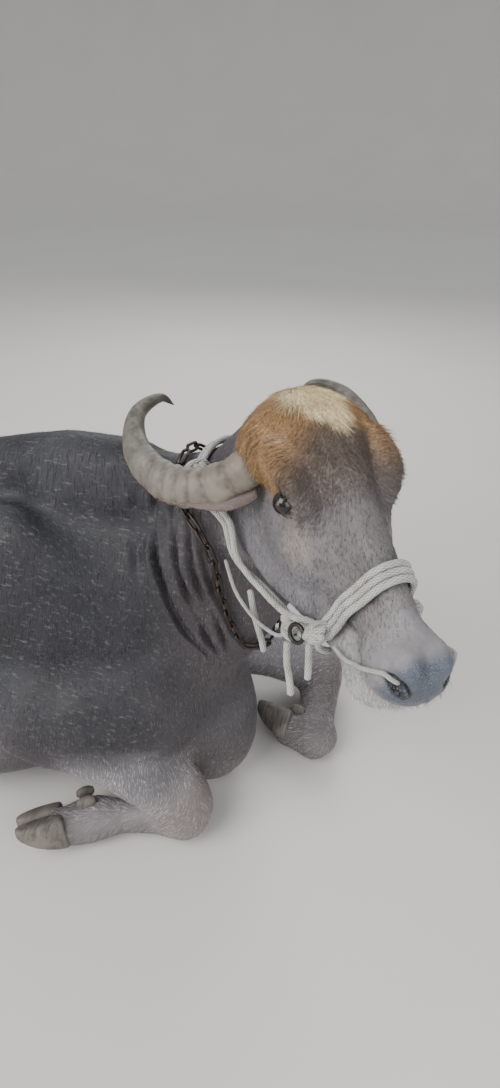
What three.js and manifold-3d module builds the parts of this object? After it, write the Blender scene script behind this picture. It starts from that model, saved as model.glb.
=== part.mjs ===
// Water buffalo at life size, lying on its brisket with its head turned to the right.
// Lengths are millimetres and angles degrees. X runs forward along the body, Y to the
// animal's left and Z up. The origin lies on the floor under the breastbone.

import * as THREE from 'three';
import { mergeVertices } from 'three/addons/utils/BufferGeometryUtils.js';
import Module from 'manifold-3d';

const wasm = await Module();
wasm.setup();

// Driving dimensions of the body
const GAP = 0.3;
const WITHERS_HEIGHT = 940;
const LOIN_HEIGHT = 848;
const CHEST_HALF_WIDTH = 225;
const BELLY_HALF_WIDTH = 385;
const RUMP_HALF_WIDTH = 265;
const TAIL_ROOT = [-1262, 0, 610];
const POLL = [421, -25, 1081];
const HEAD_AZIMUTH = -51;
const HEAD_PITCH = 21;
const HEAD_ROLL = -3;

// Driving dimensions of the head, in its own frame: X from poll to muzzle, Y left, Z up
const HEAD_LENGTH = 520;
const MUZZLE_HALF_WIDTH = 63;
const EYE = [187, 87, -40];
const EYE_RADIUS = 21;
const LID_THICKNESS = 4.5;
const MOUTH_HEIGHT = -128;
const EAR_LENGTH = 195;
const EAR_WIDTH = 94;
const EAR_THICKNESS = 7;

// Locks at the end of the tail
const SWITCH_LOCKS = 10;
const SWITCH_LENGTH = 190;

// Spacing of the surface points of each sort of piece
const TORSO_CELL = 92;
const NECK_CELL = 58;
const HEAD_CELL = 23;
const FORELEG_CELL = 48;
const HINDLEG_CELL = 68;
const CUT_CELL = 84;

// Driving dimensions of the halter and the collar
const ROPE_RADIUS = 6;
const THIN_ROPE_RADIUS = 3.5;
const ROPE_CLEARANCE = 4.5;
const RING_RADIUS = 15;
const RING_WIRE = 3.5;
const LINK_COUNT = 34;
const LINK_WIDTH = 21;
const LINK_WIRE = 3.2;

// Vectors

const rad = THREE.MathUtils.degToRad;
const vec = (p) => new THREE.Vector3(...p);
const mirror = ([x, y, z, ...rest]) => [x, -y, z, ...rest];

function frameAt(origin, forward, up) {
  const x = vec(forward).normalize();
  const y = vec(up).cross(x).normalize();
  const z = x.clone().cross(y);
  return new THREE.Matrix4().makeBasis(x, y, z).setPosition(...origin);
}

// Seeded draws, so that each lock lies the same way every time
function drawer(seed) {
  let state = seed;
  return (low, high) => {
    state = (state * 1664525 + 1013904223) % 4294967296;
    return low + ((high - low) * state) / 4294967296;
  };
}

// Fields: signed distances, negative inside

function ball(centre, radii, turn = [0, 0, 0]) {
  const [roll, pitch, yaw] = turn.map(rad);
  const pose = new THREE.Matrix4().makeRotationFromEuler(new THREE.Euler(roll, pitch, yaw, 'ZYX'));
  const m = pose.invert().elements;
  const [cx, cy, cz] = centre;
  const [rx, ry, rz] = radii;
  return (px, py, pz) => {
    const dx = px - cx;
    const dy = py - cy;
    const dz = pz - cz;
    const x = (m[0] * dx + m[4] * dy + m[8] * dz) / rx;
    const y = (m[1] * dx + m[5] * dy + m[9] * dz) / ry;
    const z = (m[2] * dx + m[6] * dy + m[10] * dz) / rz;
    const scaled = Math.hypot(x, y, z);
    const slope = Math.hypot(x / rx, y / ry, z / rz);
    return slope < 1e-9 ? -Math.min(rx, ry, rz) : (scaled * (scaled - 1)) / slope;
  };
}

function smoothPath(points, pieces) {
  const curve = new THREE.CatmullRomCurve3(points.map((p) => vec(p.slice(0, 3))), false, 'centripetal');
  const last = points.length - 1;
  return Array.from({ length: pieces + 1 }, (_, i) => {
    const along = (i / pieces) * last;
    const from = Math.min(Math.floor(along), last - 1);
    const share = along - from;
    const radius = THREE.MathUtils.lerp(points[from][3] ?? 0, points[from + 1][3] ?? 0, share);
    return [...curve.getPoint(i / pieces).toArray(), radius];
  });
}

// A limb along a path whose points carry a radius as their fourth number
function tube(points, piecesPerSpan = 3) {
  const path = points.length > 2 ? smoothPath(points, (points.length - 1) * piecesPerSpan) : points;
  return (x, y, z) => {
    let best = Infinity;
    for (let i = 0; i + 1 < path.length; i += 1) {
      const [ax, ay, az, ar] = path[i];
      const [bx, by, bz, br] = path[i + 1];
      const ex = bx - ax;
      const ey = by - ay;
      const ez = bz - az;
      const dot = (x - ax) * ex + (y - ay) * ey + (z - az) * ez;
      const t = Math.min(1, Math.max(0, dot / (ex * ex + ey * ey + ez * ez)));
      const away = Math.hypot(x - ax - t * ex, y - ay - t * ey, z - az - t * ez);
      best = Math.min(best, away - ar - t * (br - ar));
    }
    return best;
  };
}

function blend(width, fields) {
  return (x, y, z) => {
    let value = fields[0](x, y, z);
    for (let i = 1; i < fields.length; i += 1) {
      const other = fields[i](x, y, z);
      const near = Math.max(width - Math.abs(value - other), 0) / width;
      value = Math.min(value, other) - (near * near * width) / 4;
    }
    return value;
  };
}

const bothSides = (field) => (x, y, z) => field(x, Math.abs(y), z);
const grown = (field, margin) => (x, y, z) => field(x, y, z) - margin;

function seenFrom(frame, field) {
  const m = frame.elements;
  return (x, y, z) => field(
    m[0] * x + m[4] * y + m[8] * z + m[12],
    m[1] * x + m[5] * y + m[9] * z + m[13],
    m[2] * x + m[6] * y + m[10] * z + m[14],
  );
}

function slopeOf(field, [x, y, z]) {
  const step = 0.5;
  return [
    (field(x + step, y, z) - field(x - step, y, z)) / (2 * step),
    (field(x, y + step, z) - field(x, y - step, z)) / (2 * step),
    (field(x, y, z + step) - field(x, y, z - step)) / (2 * step),
  ];
}

// The point nearest to a start where the field has a wanted level
function settle(field, start, level = 0, reach = Infinity) {
  let point = start;
  for (let i = 0; i < 4; i += 1) {
    const slope = slopeOf(field, point);
    const length = Math.max(slope[0] ** 2 + slope[1] ** 2 + slope[2] ** 2, 0.04);
    const miss = (field(...point) - level) / length;
    point = point.map((value, axis) => value - slope[axis] * miss);
  }
  const moved = vec(point).sub(vec(start));
  return moved.length() > reach ? vec(start).add(moved.setLength(reach)).toArray() : point;
}

// Surfaces: a net of one point for each loop of crossings in a cell of the grid

const CORNERS = [0, 1, 2, 3, 4, 5, 6, 7].map((i) => [i & 1, (i >> 1) & 1, i >> 2]);
const EDGES = [];
for (let a = 0; a < 8; a += 1) {
  for (const bit of [1, 2, 4]) {
    if (!(a & bit)) EDGES.push([a, a | bit]);
  }
}
const edgeBetween = (a, b) => EDGES.findIndex(([p, q]) => (p === a && q === b) || (p === b && q === a));
const FACES = [[1, 2, 4], [2, 4, 1], [4, 1, 2]].flatMap(([side, u, v]) => (
  [0, side].map((base) => [base, base | u, base | u | v, base | v])
));
const FACE_EDGES = FACES.map((face) => face.map((corner, i) => edgeBetween(corner, face[(i + 1) % 4])));

// Crossed edges of a cell, grouped into the loops that the surface makes in it
function loopsOf(inside) {
  const group = EDGES.map((_, i) => i);
  const root = (i) => (group[i] === i ? i : root(group[i]));
  FACES.forEach((face, f) => {
    const edges = FACE_EDGES[f];
    const crossed = edges.filter((e) => inside[EDGES[e][0]] !== inside[EDGES[e][1]]);
    if (crossed.length === 2) group[root(crossed[0])] = root(crossed[1]);
    if (crossed.length === 4) {
      face.forEach((corner, i) => {
        if (inside[corner]) group[root(edges[i])] = root(edges[(i + 3) % 4]);
      });
    }
  });
  return EDGES.map(([a, b], i) => (inside[a] === inside[b] ? -1 : root(i)));
}

function surfaceOf(field, low, high, cell) {
  const size = [0, 1, 2].map((axis) => Math.ceil((high[axis] - low[axis]) / cell) + 1);
  const place = (i, j, k) => [low[0] + i * cell, low[1] + j * cell, low[2] + k * cell];
  const index = (i, j, k) => (k * size[1] + j) * size[0] + i;
  const atRim = (i, j, k) => [i, j, k].some((n, axis) => n === 0 || n === size[axis] - 1);
  const values = new Float64Array(size[0] * size[1] * size[2]);
  for (let k = 0; k < size[2]; k += 1) {
    for (let j = 0; j < size[1]; j += 1) {
      for (let i = 0; i < size[0]; i += 1) {
        const value = field(...place(i, j, k));
        values[index(i, j, k)] = atRim(i, j, k) ? Math.max(value, 0.01 * cell) : value;
      }
    }
  }

  const points = [];
  const pointOfEdge = new Map();
  for (let k = 0; k + 1 < size[2]; k += 1) {
    for (let j = 0; j + 1 < size[1]; j += 1) {
      for (let i = 0; i + 1 < size[0]; i += 1) {
        const value = CORNERS.map(([a, b, c]) => values[index(i + a, j + b, k + c)]);
        const inside = value.map((v) => v < 0);
        if (inside.every((v) => v === inside[0])) continue;
        const loops = loopsOf(inside);
        for (const loop of new Set(loops.filter((name) => name >= 0))) {
          const middle = new THREE.Vector3();
          let count = 0;
          loops.forEach((name, e) => {
            if (name !== loop) return;
            const [a, b] = EDGES[e];
            const share = value[a] / (value[a] - value[b]);
            const from = vec(place(i + CORNERS[a][0], j + CORNERS[a][1], k + CORNERS[a][2]));
            const to = vec(place(i + CORNERS[b][0], j + CORNERS[b][1], k + CORNERS[b][2]));
            middle.add(from.lerp(to, share));
            count += 1;
            pointOfEdge.set(index(i, j, k) * 12 + e, points.length);
          });
          points.push(settle(field, middle.divideScalar(count).toArray(), 0, cell * 0.5));
        }
      }
    }
  }

  const triangles = [];
  const steps = [[1, 0, 0], [0, 1, 0], [0, 0, 1]];
  const gapSquared = (a, b) => vec(points[a]).distanceToSquared(vec(points[b]));
  for (let k = 0; k < size[2]; k += 1) {
    for (let j = 0; j < size[1]; j += 1) {
      for (let i = 0; i < size[0]; i += 1) {
        steps.forEach(([a, b, c], axis) => {
          if (i + a >= size[0] || j + b >= size[1] || k + c >= size[2]) return;
          const starts = values[index(i, j, k)] < 0;
          if (starts === values[index(i + a, j + b, k + c)] < 0) return;
          const u = steps[(axis + 1) % 3];
          const v = steps[(axis + 2) % 3];
          const ring = [[0, 0], [1, 0], [1, 1], [0, 1]].map(([s, t]) => {
            const cellAt = [i - s * u[0] - t * v[0], j - s * u[1] - t * v[1], k - s * u[2] - t * v[2]];
            const low3 = s * (u[0] + 2 * u[1] + 4 * u[2]) + t * (v[0] + 2 * v[1] + 4 * v[2]);
            return pointOfEdge.get(index(...cellAt) * 12 + edgeBetween(low3, low3 | (1 << axis)));
          });
          if (!starts) ring.reverse();
          const [p, q, r, s] = ring;
          if (gapSquared(p, r) <= gapSquared(q, s)) triangles.push(p, q, r, p, r, s);
          else triangles.push(q, r, s, q, s, p);
        });
      }
    }
  }
  return { points, triangles, field };
}

// The same net a little thicker, to clear its own place in a neighbour
function thicker(surface, margin) {
  const points = surface.points.map((point) => {
    const normal = vec(slopeOf(surface.field, point)).setLength(margin);
    return vec(point).add(normal).toArray();
  });
  return { ...surface, points };
}

// Solids

function solidOf({ points, triangles }) {
  const corner = (i) => vec(points[triangles[i]]);
  let volume = 0;
  for (let i = 0; i < triangles.length; i += 3) {
    volume += corner(i).dot(corner(i + 1).cross(corner(i + 2))) / 6;
  }
  const mesh = new wasm.Mesh({
    numProp: 3,
    vertProperties: Float32Array.from(points.flat()),
    triVerts: Uint32Array.from(volume < 0 ? triangles.slice().reverse() : triangles),
  });
  return new wasm.Manifold(mesh);
}

function solidFrom(geometry, frame = new THREE.Matrix4()) {
  const bare = geometry.clone().applyMatrix4(frame);
  bare.deleteAttribute('normal');
  bare.deleteAttribute('uv');
  const merged = mergeVertices(bare, 1e-3);
  const index = Array.from(merged.index.array);
  const triangles = [];
  for (let i = 0; i < index.length; i += 3) {
    const [a, b, c] = index.slice(i, i + 3);
    if (a !== b && b !== c && c !== a) triangles.push(a, b, c);
  }
  const flat = merged.attributes.position.array;
  const points = Array.from({ length: flat.length / 3 }, (_, i) => Array.from(flat.slice(3 * i, 3 * i + 3)));
  return solidOf({ points, triangles });
}

// A closed skin over rings of equal count, with a point at each end
function loft(rings) {
  const count = rings[0].length;
  const points = rings.flat();
  const triangles = [];
  for (let r = 0; r + 1 < rings.length; r += 1) {
    for (let s = 0; s < count; s += 1) {
      const next = (s + 1) % count;
      const a = r * count + s;
      const b = r * count + next;
      triangles.push(a, b, b + count, a, b + count, a + count);
    }
  }
  [rings[0], rings[rings.length - 1]].forEach((ring, end) => {
    const middle = ring.reduce((sum, p) => sum.add(vec(p)), new THREE.Vector3()).divideScalar(count);
    const base = end * (rings.length - 1) * count;
    for (let s = 0; s < count; s += 1) {
      const next = (s + 1) % count;
      if (end === 0) triangles.push(points.length, base + next, base + s);
      else triangles.push(points.length, base + s, base + next);
    }
    points.push(middle.toArray());
  });
  return solidOf({ points, triangles });
}

// A closed shell over a grid of places, each with a front and a back point
function shell(across, along, front, back) {
  const points = [];
  const grid = (pick, a, b) => points.push(pick(a / across, b / along)) - 1;
  const sides = [front, back].map((pick) => (
    Array.from({ length: across + 1 }, (_, a) => (
      Array.from({ length: along + 1 }, (__, b) => grid(pick, a, b))
    ))
  ));
  const triangles = [];
  const quad = (p, q, r, s) => triangles.push(p, q, r, p, r, s);
  const [f, g] = sides;
  for (let a = 0; a < across; a += 1) {
    for (let b = 0; b < along; b += 1) {
      quad(f[a][b], f[a + 1][b], f[a + 1][b + 1], f[a][b + 1]);
      quad(g[a][b], g[a][b + 1], g[a + 1][b + 1], g[a + 1][b]);
    }
    quad(f[a][0], g[a][0], g[a + 1][0], f[a + 1][0]);
    quad(f[a][along], f[a + 1][along], g[a + 1][along], g[a][along]);
  }
  for (let b = 0; b < along; b += 1) {
    quad(f[0][b], f[0][b + 1], g[0][b + 1], g[0][b]);
    quad(f[across][b], g[across][b], g[across][b + 1], f[across][b + 1]);
  }
  return solidOf({ points, triangles });
}

// A path with both its ends moved outward, to clear the caps of what lies along it
function lengthened(path, margin) {
  const moved = (at, from) => vec(path[at].slice(0, 3)).sub(vec(path[from].slice(0, 3))).setLength(margin);
  const last = path.length - 1;
  const shifts = { 0: moved(0, 1), [last]: moved(last, last - 1) };
  return path.map((p, i) => (
    shifts[i] ? [...vec(p.slice(0, 3)).add(shifts[i]).toArray(), ...p.slice(3)] : p
  ));
}

// Rings across a path, shaped by a function of the share of its length
function sweep(points, pieces, sides, shape, up = [0, 0, 1]) {
  const curve = new THREE.CatmullRomCurve3(points.map((p) => vec(p.slice(0, 3))), false, 'centripetal');
  const rings = [];
  let side = vec(up).cross(curve.getTangent(0)).normalize();
  for (let i = 0; i <= pieces; i += 1) {
    const share = i / pieces;
    const forward = curve.getTangentAt(share);
    side = side.addScaledVector(forward, -side.dot(forward)).normalize();
    const rise = forward.clone().cross(side);
    const centre = curve.getPointAt(share);
    rings.push(Array.from({ length: sides }, (_, s) => {
      const angle = (2 * Math.PI * s) / sides;
      const [a, b] = shape(share, angle);
      return centre.clone().addScaledVector(side, a).addScaledVector(rise, b).toArray();
    }));
  }
  return rings;
}

function rope(points, radius, sides = 8, pieces = Math.round(pathLength(points) / (5 * radius))) {
  const corners = Array.from({ length: sides }, (_, s) => {
    const angle = (2 * Math.PI * s) / sides;
    return new THREE.Vector2(radius * Math.cos(angle), radius * Math.sin(angle));
  });
  const path = new THREE.CatmullRomCurve3(points.map(vec), false, 'centripetal');
  const options = { steps: Math.max(pieces, 3), extrudePath: path, curveSegments: 1 };
  return solidFrom(new THREE.ExtrudeGeometry(new THREE.Shape(corners), options));
}

// Ropes lying side by side on a surface, as one flat band with a valley between each two
function ropeBand(field, guides, radius, strands, pieces, grow = 0) {
  const path = laidOn(field, guides, radius + ROPE_CLEARANCE, pieces);
  const rings = path.map((point, i) => {
    const before = vec(path[Math.max(i - 1, 0)]);
    const forward = vec(path[Math.min(i + 1, pieces)]).sub(before).normalize();
    const out = vec(slopeOf(field, point)).normalize();
    const across = out.clone().cross(forward).normalize();
    const half = (strands - 1) * radius;
    const top = Array.from({ length: 2 * strands - 1 }, (_, n) => [half - n * radius, n % 2 ? 0.55 : 1]);
    const outline = [
      ...top.map(([a, b]) => [a, b * radius + grow]),
      [-half - radius - grow, 0],
      [-half, -radius - grow],
      [half, -radius - grow],
      [half + radius + grow, 0],
    ];
    return outline.map(([a, b]) => (
      vec(point).addScaledVector(across, -a).addScaledVector(out, b).toArray()
    ));
  });
  return loft(rings);
}

function pathLength(points) {
  return points.slice(1).reduce((sum, p, i) => sum + vec(p).distanceTo(vec(points[i])), 0);
}

// Points spread along a few guides and laid on a surface at a given height. A guide's
// fourth number lifts its stretch of the path off the surface.
function laidOn(field, guides, height, count) {
  const curve = new THREE.CatmullRomCurve3(guides.map(([x, y, z]) => vec([x, y, z])), false, 'centripetal');
  return Array.from({ length: count + 1 }, (_, i) => {
    const share = curve.getUtoTmapping(i / count);
    const along = share * (guides.length - 1);
    const from = Math.min(Math.floor(along), guides.length - 2);
    const lift = THREE.MathUtils.lerp(guides[from][3] ?? 0, guides[from + 1][3] ?? 0, along - from);
    return settle(field, curve.getPoint(share).toArray(), height + lift);
  });
}

const join = (solids) => solids.reduce((all, one) => all.add(one));
const without = (solid, cutters) => cutters.reduce((left, cutter) => left.subtract(cutter), solid);
const largest = (solid) => solid.decompose().sort((a, b) => b.volume() - a.volume())[0];
const boxSolid = (low, high) => {
  const size = high.map((value, axis) => value - low[axis]);
  const middle = high.map((value, axis) => (value + low[axis]) / 2);
  return solidFrom(new THREE.BoxGeometry(...size), new THREE.Matrix4().setPosition(...middle));
};
const FAR = 4000;
const ABOVE_FLOOR = boxSolid([-FAR, -FAR, 0], [FAR, FAR, FAR]);

// A block that fills one side of a slanted plane, from a margin behind it
function blockAhead(point, normal, margin = 0) {
  const frame = frameAt(point, normal, Math.abs(normal[2]) > 0.9 ? [0, 1, 0] : [0, 0, 1]);
  const block = new THREE.BoxGeometry(FAR, FAR, FAR);
  block.translate(FAR / 2 - margin, 0, 0);
  return solidFrom(block, frame);
}

// Materials

const paint = (color, roughness, metalness = 0) => (
  new THREE.MeshStandardMaterial({ color, roughness, metalness, flatShading: true })
);
const HIDE = paint(0x4a4748, 0.85);
const FACE_HIDE = paint(0x7a7270, 0.8);
const SKIN_FOLD = paint(0x6a5a5c, 0.8);
const HAIR = paint(0x3a3536, 0.9);
const HORN = paint(0x8a8274, 0.55);
const HOOF = paint(0x55504a, 0.6);
const EYE_DARK = paint(0x15100d, 0.08);
const COTTON = paint(0xd9d3c4, 0.9);
const STEEL = paint(0x2e2c2b, 0.55, 0.8);

const model = new THREE.Group();

function add(parent, name, solid, material) {
  const mesh = solid.getMesh();
  const stride = mesh.numProp;
  const positions = [];
  for (let i = 0; i < mesh.vertProperties.length; i += stride) {
    positions.push(...mesh.vertProperties.slice(i, i + 3));
  }
  const geometry = new THREE.BufferGeometry();
  geometry.setAttribute('position', new THREE.Float32BufferAttribute(positions, 3));
  geometry.setIndex(Array.from(mesh.triVerts));
  geometry.computeVertexNormals();
  const piece = new THREE.Mesh(geometry, material);
  piece.name = name;
  parent.add(piece);
}

// Head frame

const HEAD_FRAME = new THREE.Matrix4()
  .makeRotationFromEuler(new THREE.Euler(rad(HEAD_ROLL), rad(HEAD_PITCH), rad(HEAD_AZIMUTH), 'ZYX'))
  .setPosition(...POLL);
const atHead = (x, y, z) => vec([x, y, z]).applyMatrix4(HEAD_FRAME).toArray();
const BODY_IN_HEAD = HEAD_FRAME.clone().invert();
const fromBody = ([x, y, z, ...rest]) => [...vec([x, y, z]).applyMatrix4(BODY_IN_HEAD).toArray(), ...rest];
const headGroup = new THREE.Group();
headGroup.applyMatrix4(HEAD_FRAME);
model.add(headGroup);

// Trunk

const spine = tube([
  [60, 0, WITHERS_HEIGHT - 60, 60],
  [-50, 0, WITHERS_HEIGHT - 64, 62],
  [-170, 0, WITHERS_HEIGHT - 86, 62],
  [-450, 0, LOIN_HEIGHT - 52, 58],
  [-800, 0, LOIN_HEIGHT - 68, 62],
  [-1010, 0, LOIN_HEIGHT - 112, 62],
  [-1170, 0, LOIN_HEIGHT - 190, 56],
]);
const trunk = blend(75, [
  ball([-20, 0, 402], [300, CHEST_HALF_WIDTH, 420]),
  ball([-430, 0, 418], [430, BELLY_HALF_WIDTH - 60, 430]),
  ball([-640, 0, 358], [420, BELLY_HALF_WIDTH, 384]),
  ball([-985, 0, 430], [315, RUMP_HALF_WIDTH, 365]),
  spine,
  bothSides(ball([-110, 146, 570], [150, 88, 262], [0, -12, 0])),
  bothSides(ball([-935, 205, 675], [95, 60, 56])),
  bothSides(tube([[-1090, 110, 640, 74], [-1236, 92, 545, 56]])),
  bothSides(ball([115, 150, 345], [118, 92, 140])),
  ball([176, 0, 222], [162, 122, 242]),
  ball([-500, 0, 190], [480, 350, 204]),
]);

// Neck, deep and oval, from the shoulders up to the head

const neck = blend(60, [
  tube([[-60, 0, 822, 75], [150, 0, 846, 72], [300, 0, 876, 68], [...atHead(12, 0, -52), 52]]),
  tube([[90, 0, 620, 135], [250, 0, 755, 120], [...atHead(30, 0, -120), 96]]),
  tube([[170, 0, 420, 112], [290, 0, 590, 98], [370, -10, 740, 84], [...atHead(100, 0, -170), 66]]),
]);

// Legs: each is a shoulder or hip part, which melts into the trunk, and a folded lower part

const foreLegRight = {
  upper: blend(95, [
    tube([[115, -150, 400, 96], [-80, -208, 372, 104]]),
    tube([[-105, -214, 360, 112], [40, -208, 300, 100]]),
  ]),
  lower: tube([[20, -208, 308, 98], [120, -200, 232, 88], [186, -192, 156, 78], [212, -188, 92, 73]]),
  cannons: [
    [[214, -194, 62, 56], [150, -208, 52, 45], [75, -232, 50, 42], [14, -262, 52, 50], [-4, -272, 52, 46]],
    [[28, -252, 52, 44], [0, -268, 52, 50], [-50, -302, 52, 47]],
  ],
  low: [-330, -460, -70],
  high: [340, -20, 620],
};
const foreLegLeft = {
  upper: blend(95, [
    tube([[140, 165, 400, 96], [40, 250, 240, 92]]),
    tube([[20, 268, 225, 92], [200, 312, 170, 82], [345, 350, 120, 66]]),
  ]),
  lower: tube([[335, 350, 120, 66], [418, 358, 92, 72]]),
  cannons: [
    [[428, 332, 80, 60], [438, 280, 66, 54], [450, 200, 58, 52], [458, 146, 59, 58], [460, 128, 59, 50]],
    [[478, 138, 59, 42], [456, 140, 59, 57], [430, 142, 57, 54], [390, 146, 56, 51]],
  ],
  low: [-120, 20, -70],
  high: [560, 480, 640],
};
const hindLeg = (side) => ({
  upper: blend(70, [
    ball([-860, 215 * side, 400], [250, 130, 250], [12 * side, -30, 6 * side]),
    tube([[-930, 190 * side, 520, 150], [-700, 300 * side, 300, 125], [-625, 335 * side, 240, 92]]),
    tube([[-640, 345 * side, 215, 92], [-820, 385 * side, 150, 74], [-985, 400 * side, 105, 52]]),
  ]),
  lower: tube([[-985, 400 * side, 100, 56], [-1036, 402 * side, 112, 46]]),
  cannons: [[
    [-1006, 402 * side, 66, 46],
    [-960, 409 * side, 58, 48],
    [-860, 428 * side, 50, 43],
    [-750, 447 * side, 50, 45],
    [-712, 452 * side, 52, 50],
    [-650, 458 * side, 50, 46],
  ]],
  low: side > 0 ? [-1180, 20, -70] : [-1180, -560, -70],
  high: side > 0 ? [-440, 560, 760] : [-440, -20, 760],
});
const legs = {
  foreleg_right: { ...foreLegRight, cell: FORELEG_CELL },
  foreleg_left: { ...foreLegLeft, cell: FORELEG_CELL },
  hindleg_right: { ...hindLeg(-1), cell: HINDLEG_CELL },
  hindleg_left: { ...hindLeg(1), cell: HINDLEG_CELL },
};

const limbs = Object.values(legs);
const trunkWithLimbs = blend(55, [trunk, neck, ...limbs.map((leg) => leg.upper)]);
const flesh = (x, y, z) => {
  let value = trunkWithLimbs(x, y, z);
  for (const leg of limbs) value = Math.min(value, blend(20, [leg.upper, leg.lower])(x, y, z));
  return value;
};

// Feet: two claws on the toe and two dewclaws behind the fetlock

const FEET = {
  front_right: { frame: frameAt([-48, -300, 52], [-0.78, -0.62, -0.06], [0.1, -0.5, -0.86]), dewclaw: -62 },
  front_left: { frame: frameAt([392, 146, 56], [-0.98, 0.17, -0.1], [-0.15, -0.86, -0.48]), dewclaw: -6 },
  hind_right: { frame: frameAt([-652, -457, 46], [0.99, -0.12, -0.08], [0.1, -0.35, 0.93]), dewclaw: -62 },
  hind_left: { frame: frameAt([-652, 457, 46], [0.99, 0.12, -0.08], [0.1, 0.35, 0.93]), dewclaw: -62 },
};

function claw(side, grow) {
  const stations = [
    { x: -4, half: 28, top: 42, sole: -40 },
    { x: 34, half: 30, top: 34, sole: -44 },
    { x: 76, half: 25, top: 10, sole: -45 },
    { x: 106, half: 14, top: -16, sole: -44 },
  ];
  const rings = stations.map(({ x, half, top, sole }, i) => {
    const middle = side * (31.5 - Math.max(x - 60, 0) * 0.08);
    const wide = half + grow;
    const shift = i === 0 ? -grow : i === stations.length - 1 ? grow : 0;
    return [
      [x + shift, middle - wide, sole - grow],
      [x + shift, middle + wide, sole - grow],
      [x + shift, middle + wide * 0.96, (top + sole) / 2],
      [x + shift, middle + wide * 0.5, top + grow],
      [x + shift, middle - wide * 0.5, top + grow],
      [x + shift, middle - wide * 0.96, (top + sole) / 2],
    ];
  });
  return loft(rings);
}

function dewclaw(side, back, grow) {
  const shape = new THREE.SphereGeometry(1, 6, 4);
  shape.scale(23 + grow, 15 + grow, 17 + grow);
  return solidFrom(shape, new THREE.Matrix4().setPosition(back, 27 * side, -50));
}

function footPieces(foot, grow) {
  return [
    ['outer_claw', claw(1, grow)],
    ['inner_claw', claw(-1, grow)],
    ['outer_dewclaw', dewclaw(1, foot.dewclaw, grow)],
    ['inner_dewclaw', dewclaw(-1, foot.dewclaw, grow)],
  ].map(([name, solid]) => [name, solid.transform(foot.frame.elements)]);
}

// Head

const headOnly = blend(24, [
  ball([95, 0, -50], [122, 98, 84]),
  ball([32, 0, -28], [46, 96, 50]),
  tube([[150, 0, -72, 78], [340, 0, -85, 39], [440, 0, -102, 43]]),
  tube([[190, 0, -128, 84], [350, 0, -128, 44]]),
  tube([[150, 0, -14, 42], [350, 0, -42, 28], [452, 0, -59, 24]]),
  ball([455, 0, -101], [HEAD_LENGTH - 455, MUZZLE_HALF_WIDTH, 55]),
  ball([446, 0, -168], [52, 70, 35]),
  ball([478, 0, -102], [34, 58, 28]),
  bothSides(ball([182, 70, -34], [44, 26, 31])),
  bothSides(ball([188, 60, -132], [98, 39, 96])),
  bothSides(ball([62, 88, -52], [50, 34, 44])),
  bothSides(tube([[140, 62, -204, 34], [262, 46, -192, 32], [413, 28, -162, 30]])),
  bothSides(tube([[100, 82, -226, 24], [150, 82, -222, 26], [208, 78, -206, 25], [285, 58, -186, 19]])),
  bothSides(ball([478, 26, -62], [26, 19, 28])),
  bothSides(ball([140, 88, -8], [60, 24, 24])),
]);
const neckAtHead = seenFrom(HEAD_FRAME, neck);
const headAndNeck = blend(30, [headOnly, neckAtHead]);
const NAPE_POINT = [42, 0, -110];
const NAPE_NORMAL = [0.915, 0, 0.404];

const HORN_PATH = [
  [66, 62, -30],
  [71, 105, -75],
  [43, 172, -147],
  [-23, 223, -185],
  [-114, 247, -194],
  [-195, 224, -185],
  [-226, 170, -180],
  [-232, 138, -208],
];

// A flattened horn, ridged across near its root, that curls back and in to a blunt tip
function horn(side, grow) {
  const path = HORN_PATH.map(([x, y, z]) => [x, y * side, z]);
  const shape = (share, angle) => {
    const taper = Math.max(1 - share ** 3.5, 0.06) ** 0.8;
    const ridge = share > 0.1 && share < 0.6 ? 1.2 * Math.sin(share * 90) : 0;
    const wide = (29 + 7 * Math.sin(Math.PI * share)) * taper + ridge + grow;
    const thin = 26 * taper + ridge + grow;
    return [wide * Math.cos(angle), thin * Math.sin(angle)];
  };
  return loft(sweep(lengthened(path, grow), 18, 8, shape, [0.2, 0, 1]));
}

// A cupped leaf, rolled at its root and open along its front edge
function ear(side, grow) {
  const root = vec([90, 92 * side, -106]);
  const out = vec([-0.36, 0.7 * side, -0.62]).normalize();
  const face = vec([0.62, 0.1 * side, -0.78]);
  const depth = face.addScaledVector(out, -face.dot(out)).normalize();
  const wide = out.clone().cross(depth).multiplyScalar(side);
  const at = (v, u, offset) => {
    const leaf = Math.sin(Math.PI * (0.17 + 0.83 * u ** 0.9)) ** 0.8;
    const half = (EAR_WIDTH / 2) * Math.max(leaf, 0.06);
    const roll = THREE.MathUtils.lerp(2.2, 0.75, Math.min(u * 1.6, 1));
    const bend = half / roll;
    const turn = (2 * v - 1) * (roll + grow / bend);
    const reach = EAR_LENGTH * u + (2 * u - 1) * grow;
    return root.clone()
      .addScaledVector(out, reach)
      .addScaledVector(wide, (bend + offset) * Math.sin(turn))
      .addScaledVector(depth, bend - (bend + offset) * Math.cos(turn) - 30 * u * u)
      .toArray();
  };
  const half = EAR_THICKNESS / 2 + grow;
  const outer = (v, u) => at(v, u, half);
  const inner = (v, u) => at(v, u, -half);
  return side > 0 ? shell(6, 7, outer, inner) : shell(6, 7, inner, outer);
}

function eyeball(side, radius) {
  const place = new THREE.Matrix4().setPosition(EYE[0], EYE[1] * side, EYE[2]);
  return solidFrom(new THREE.SphereGeometry(radius, 14, 8), place);
}

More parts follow.
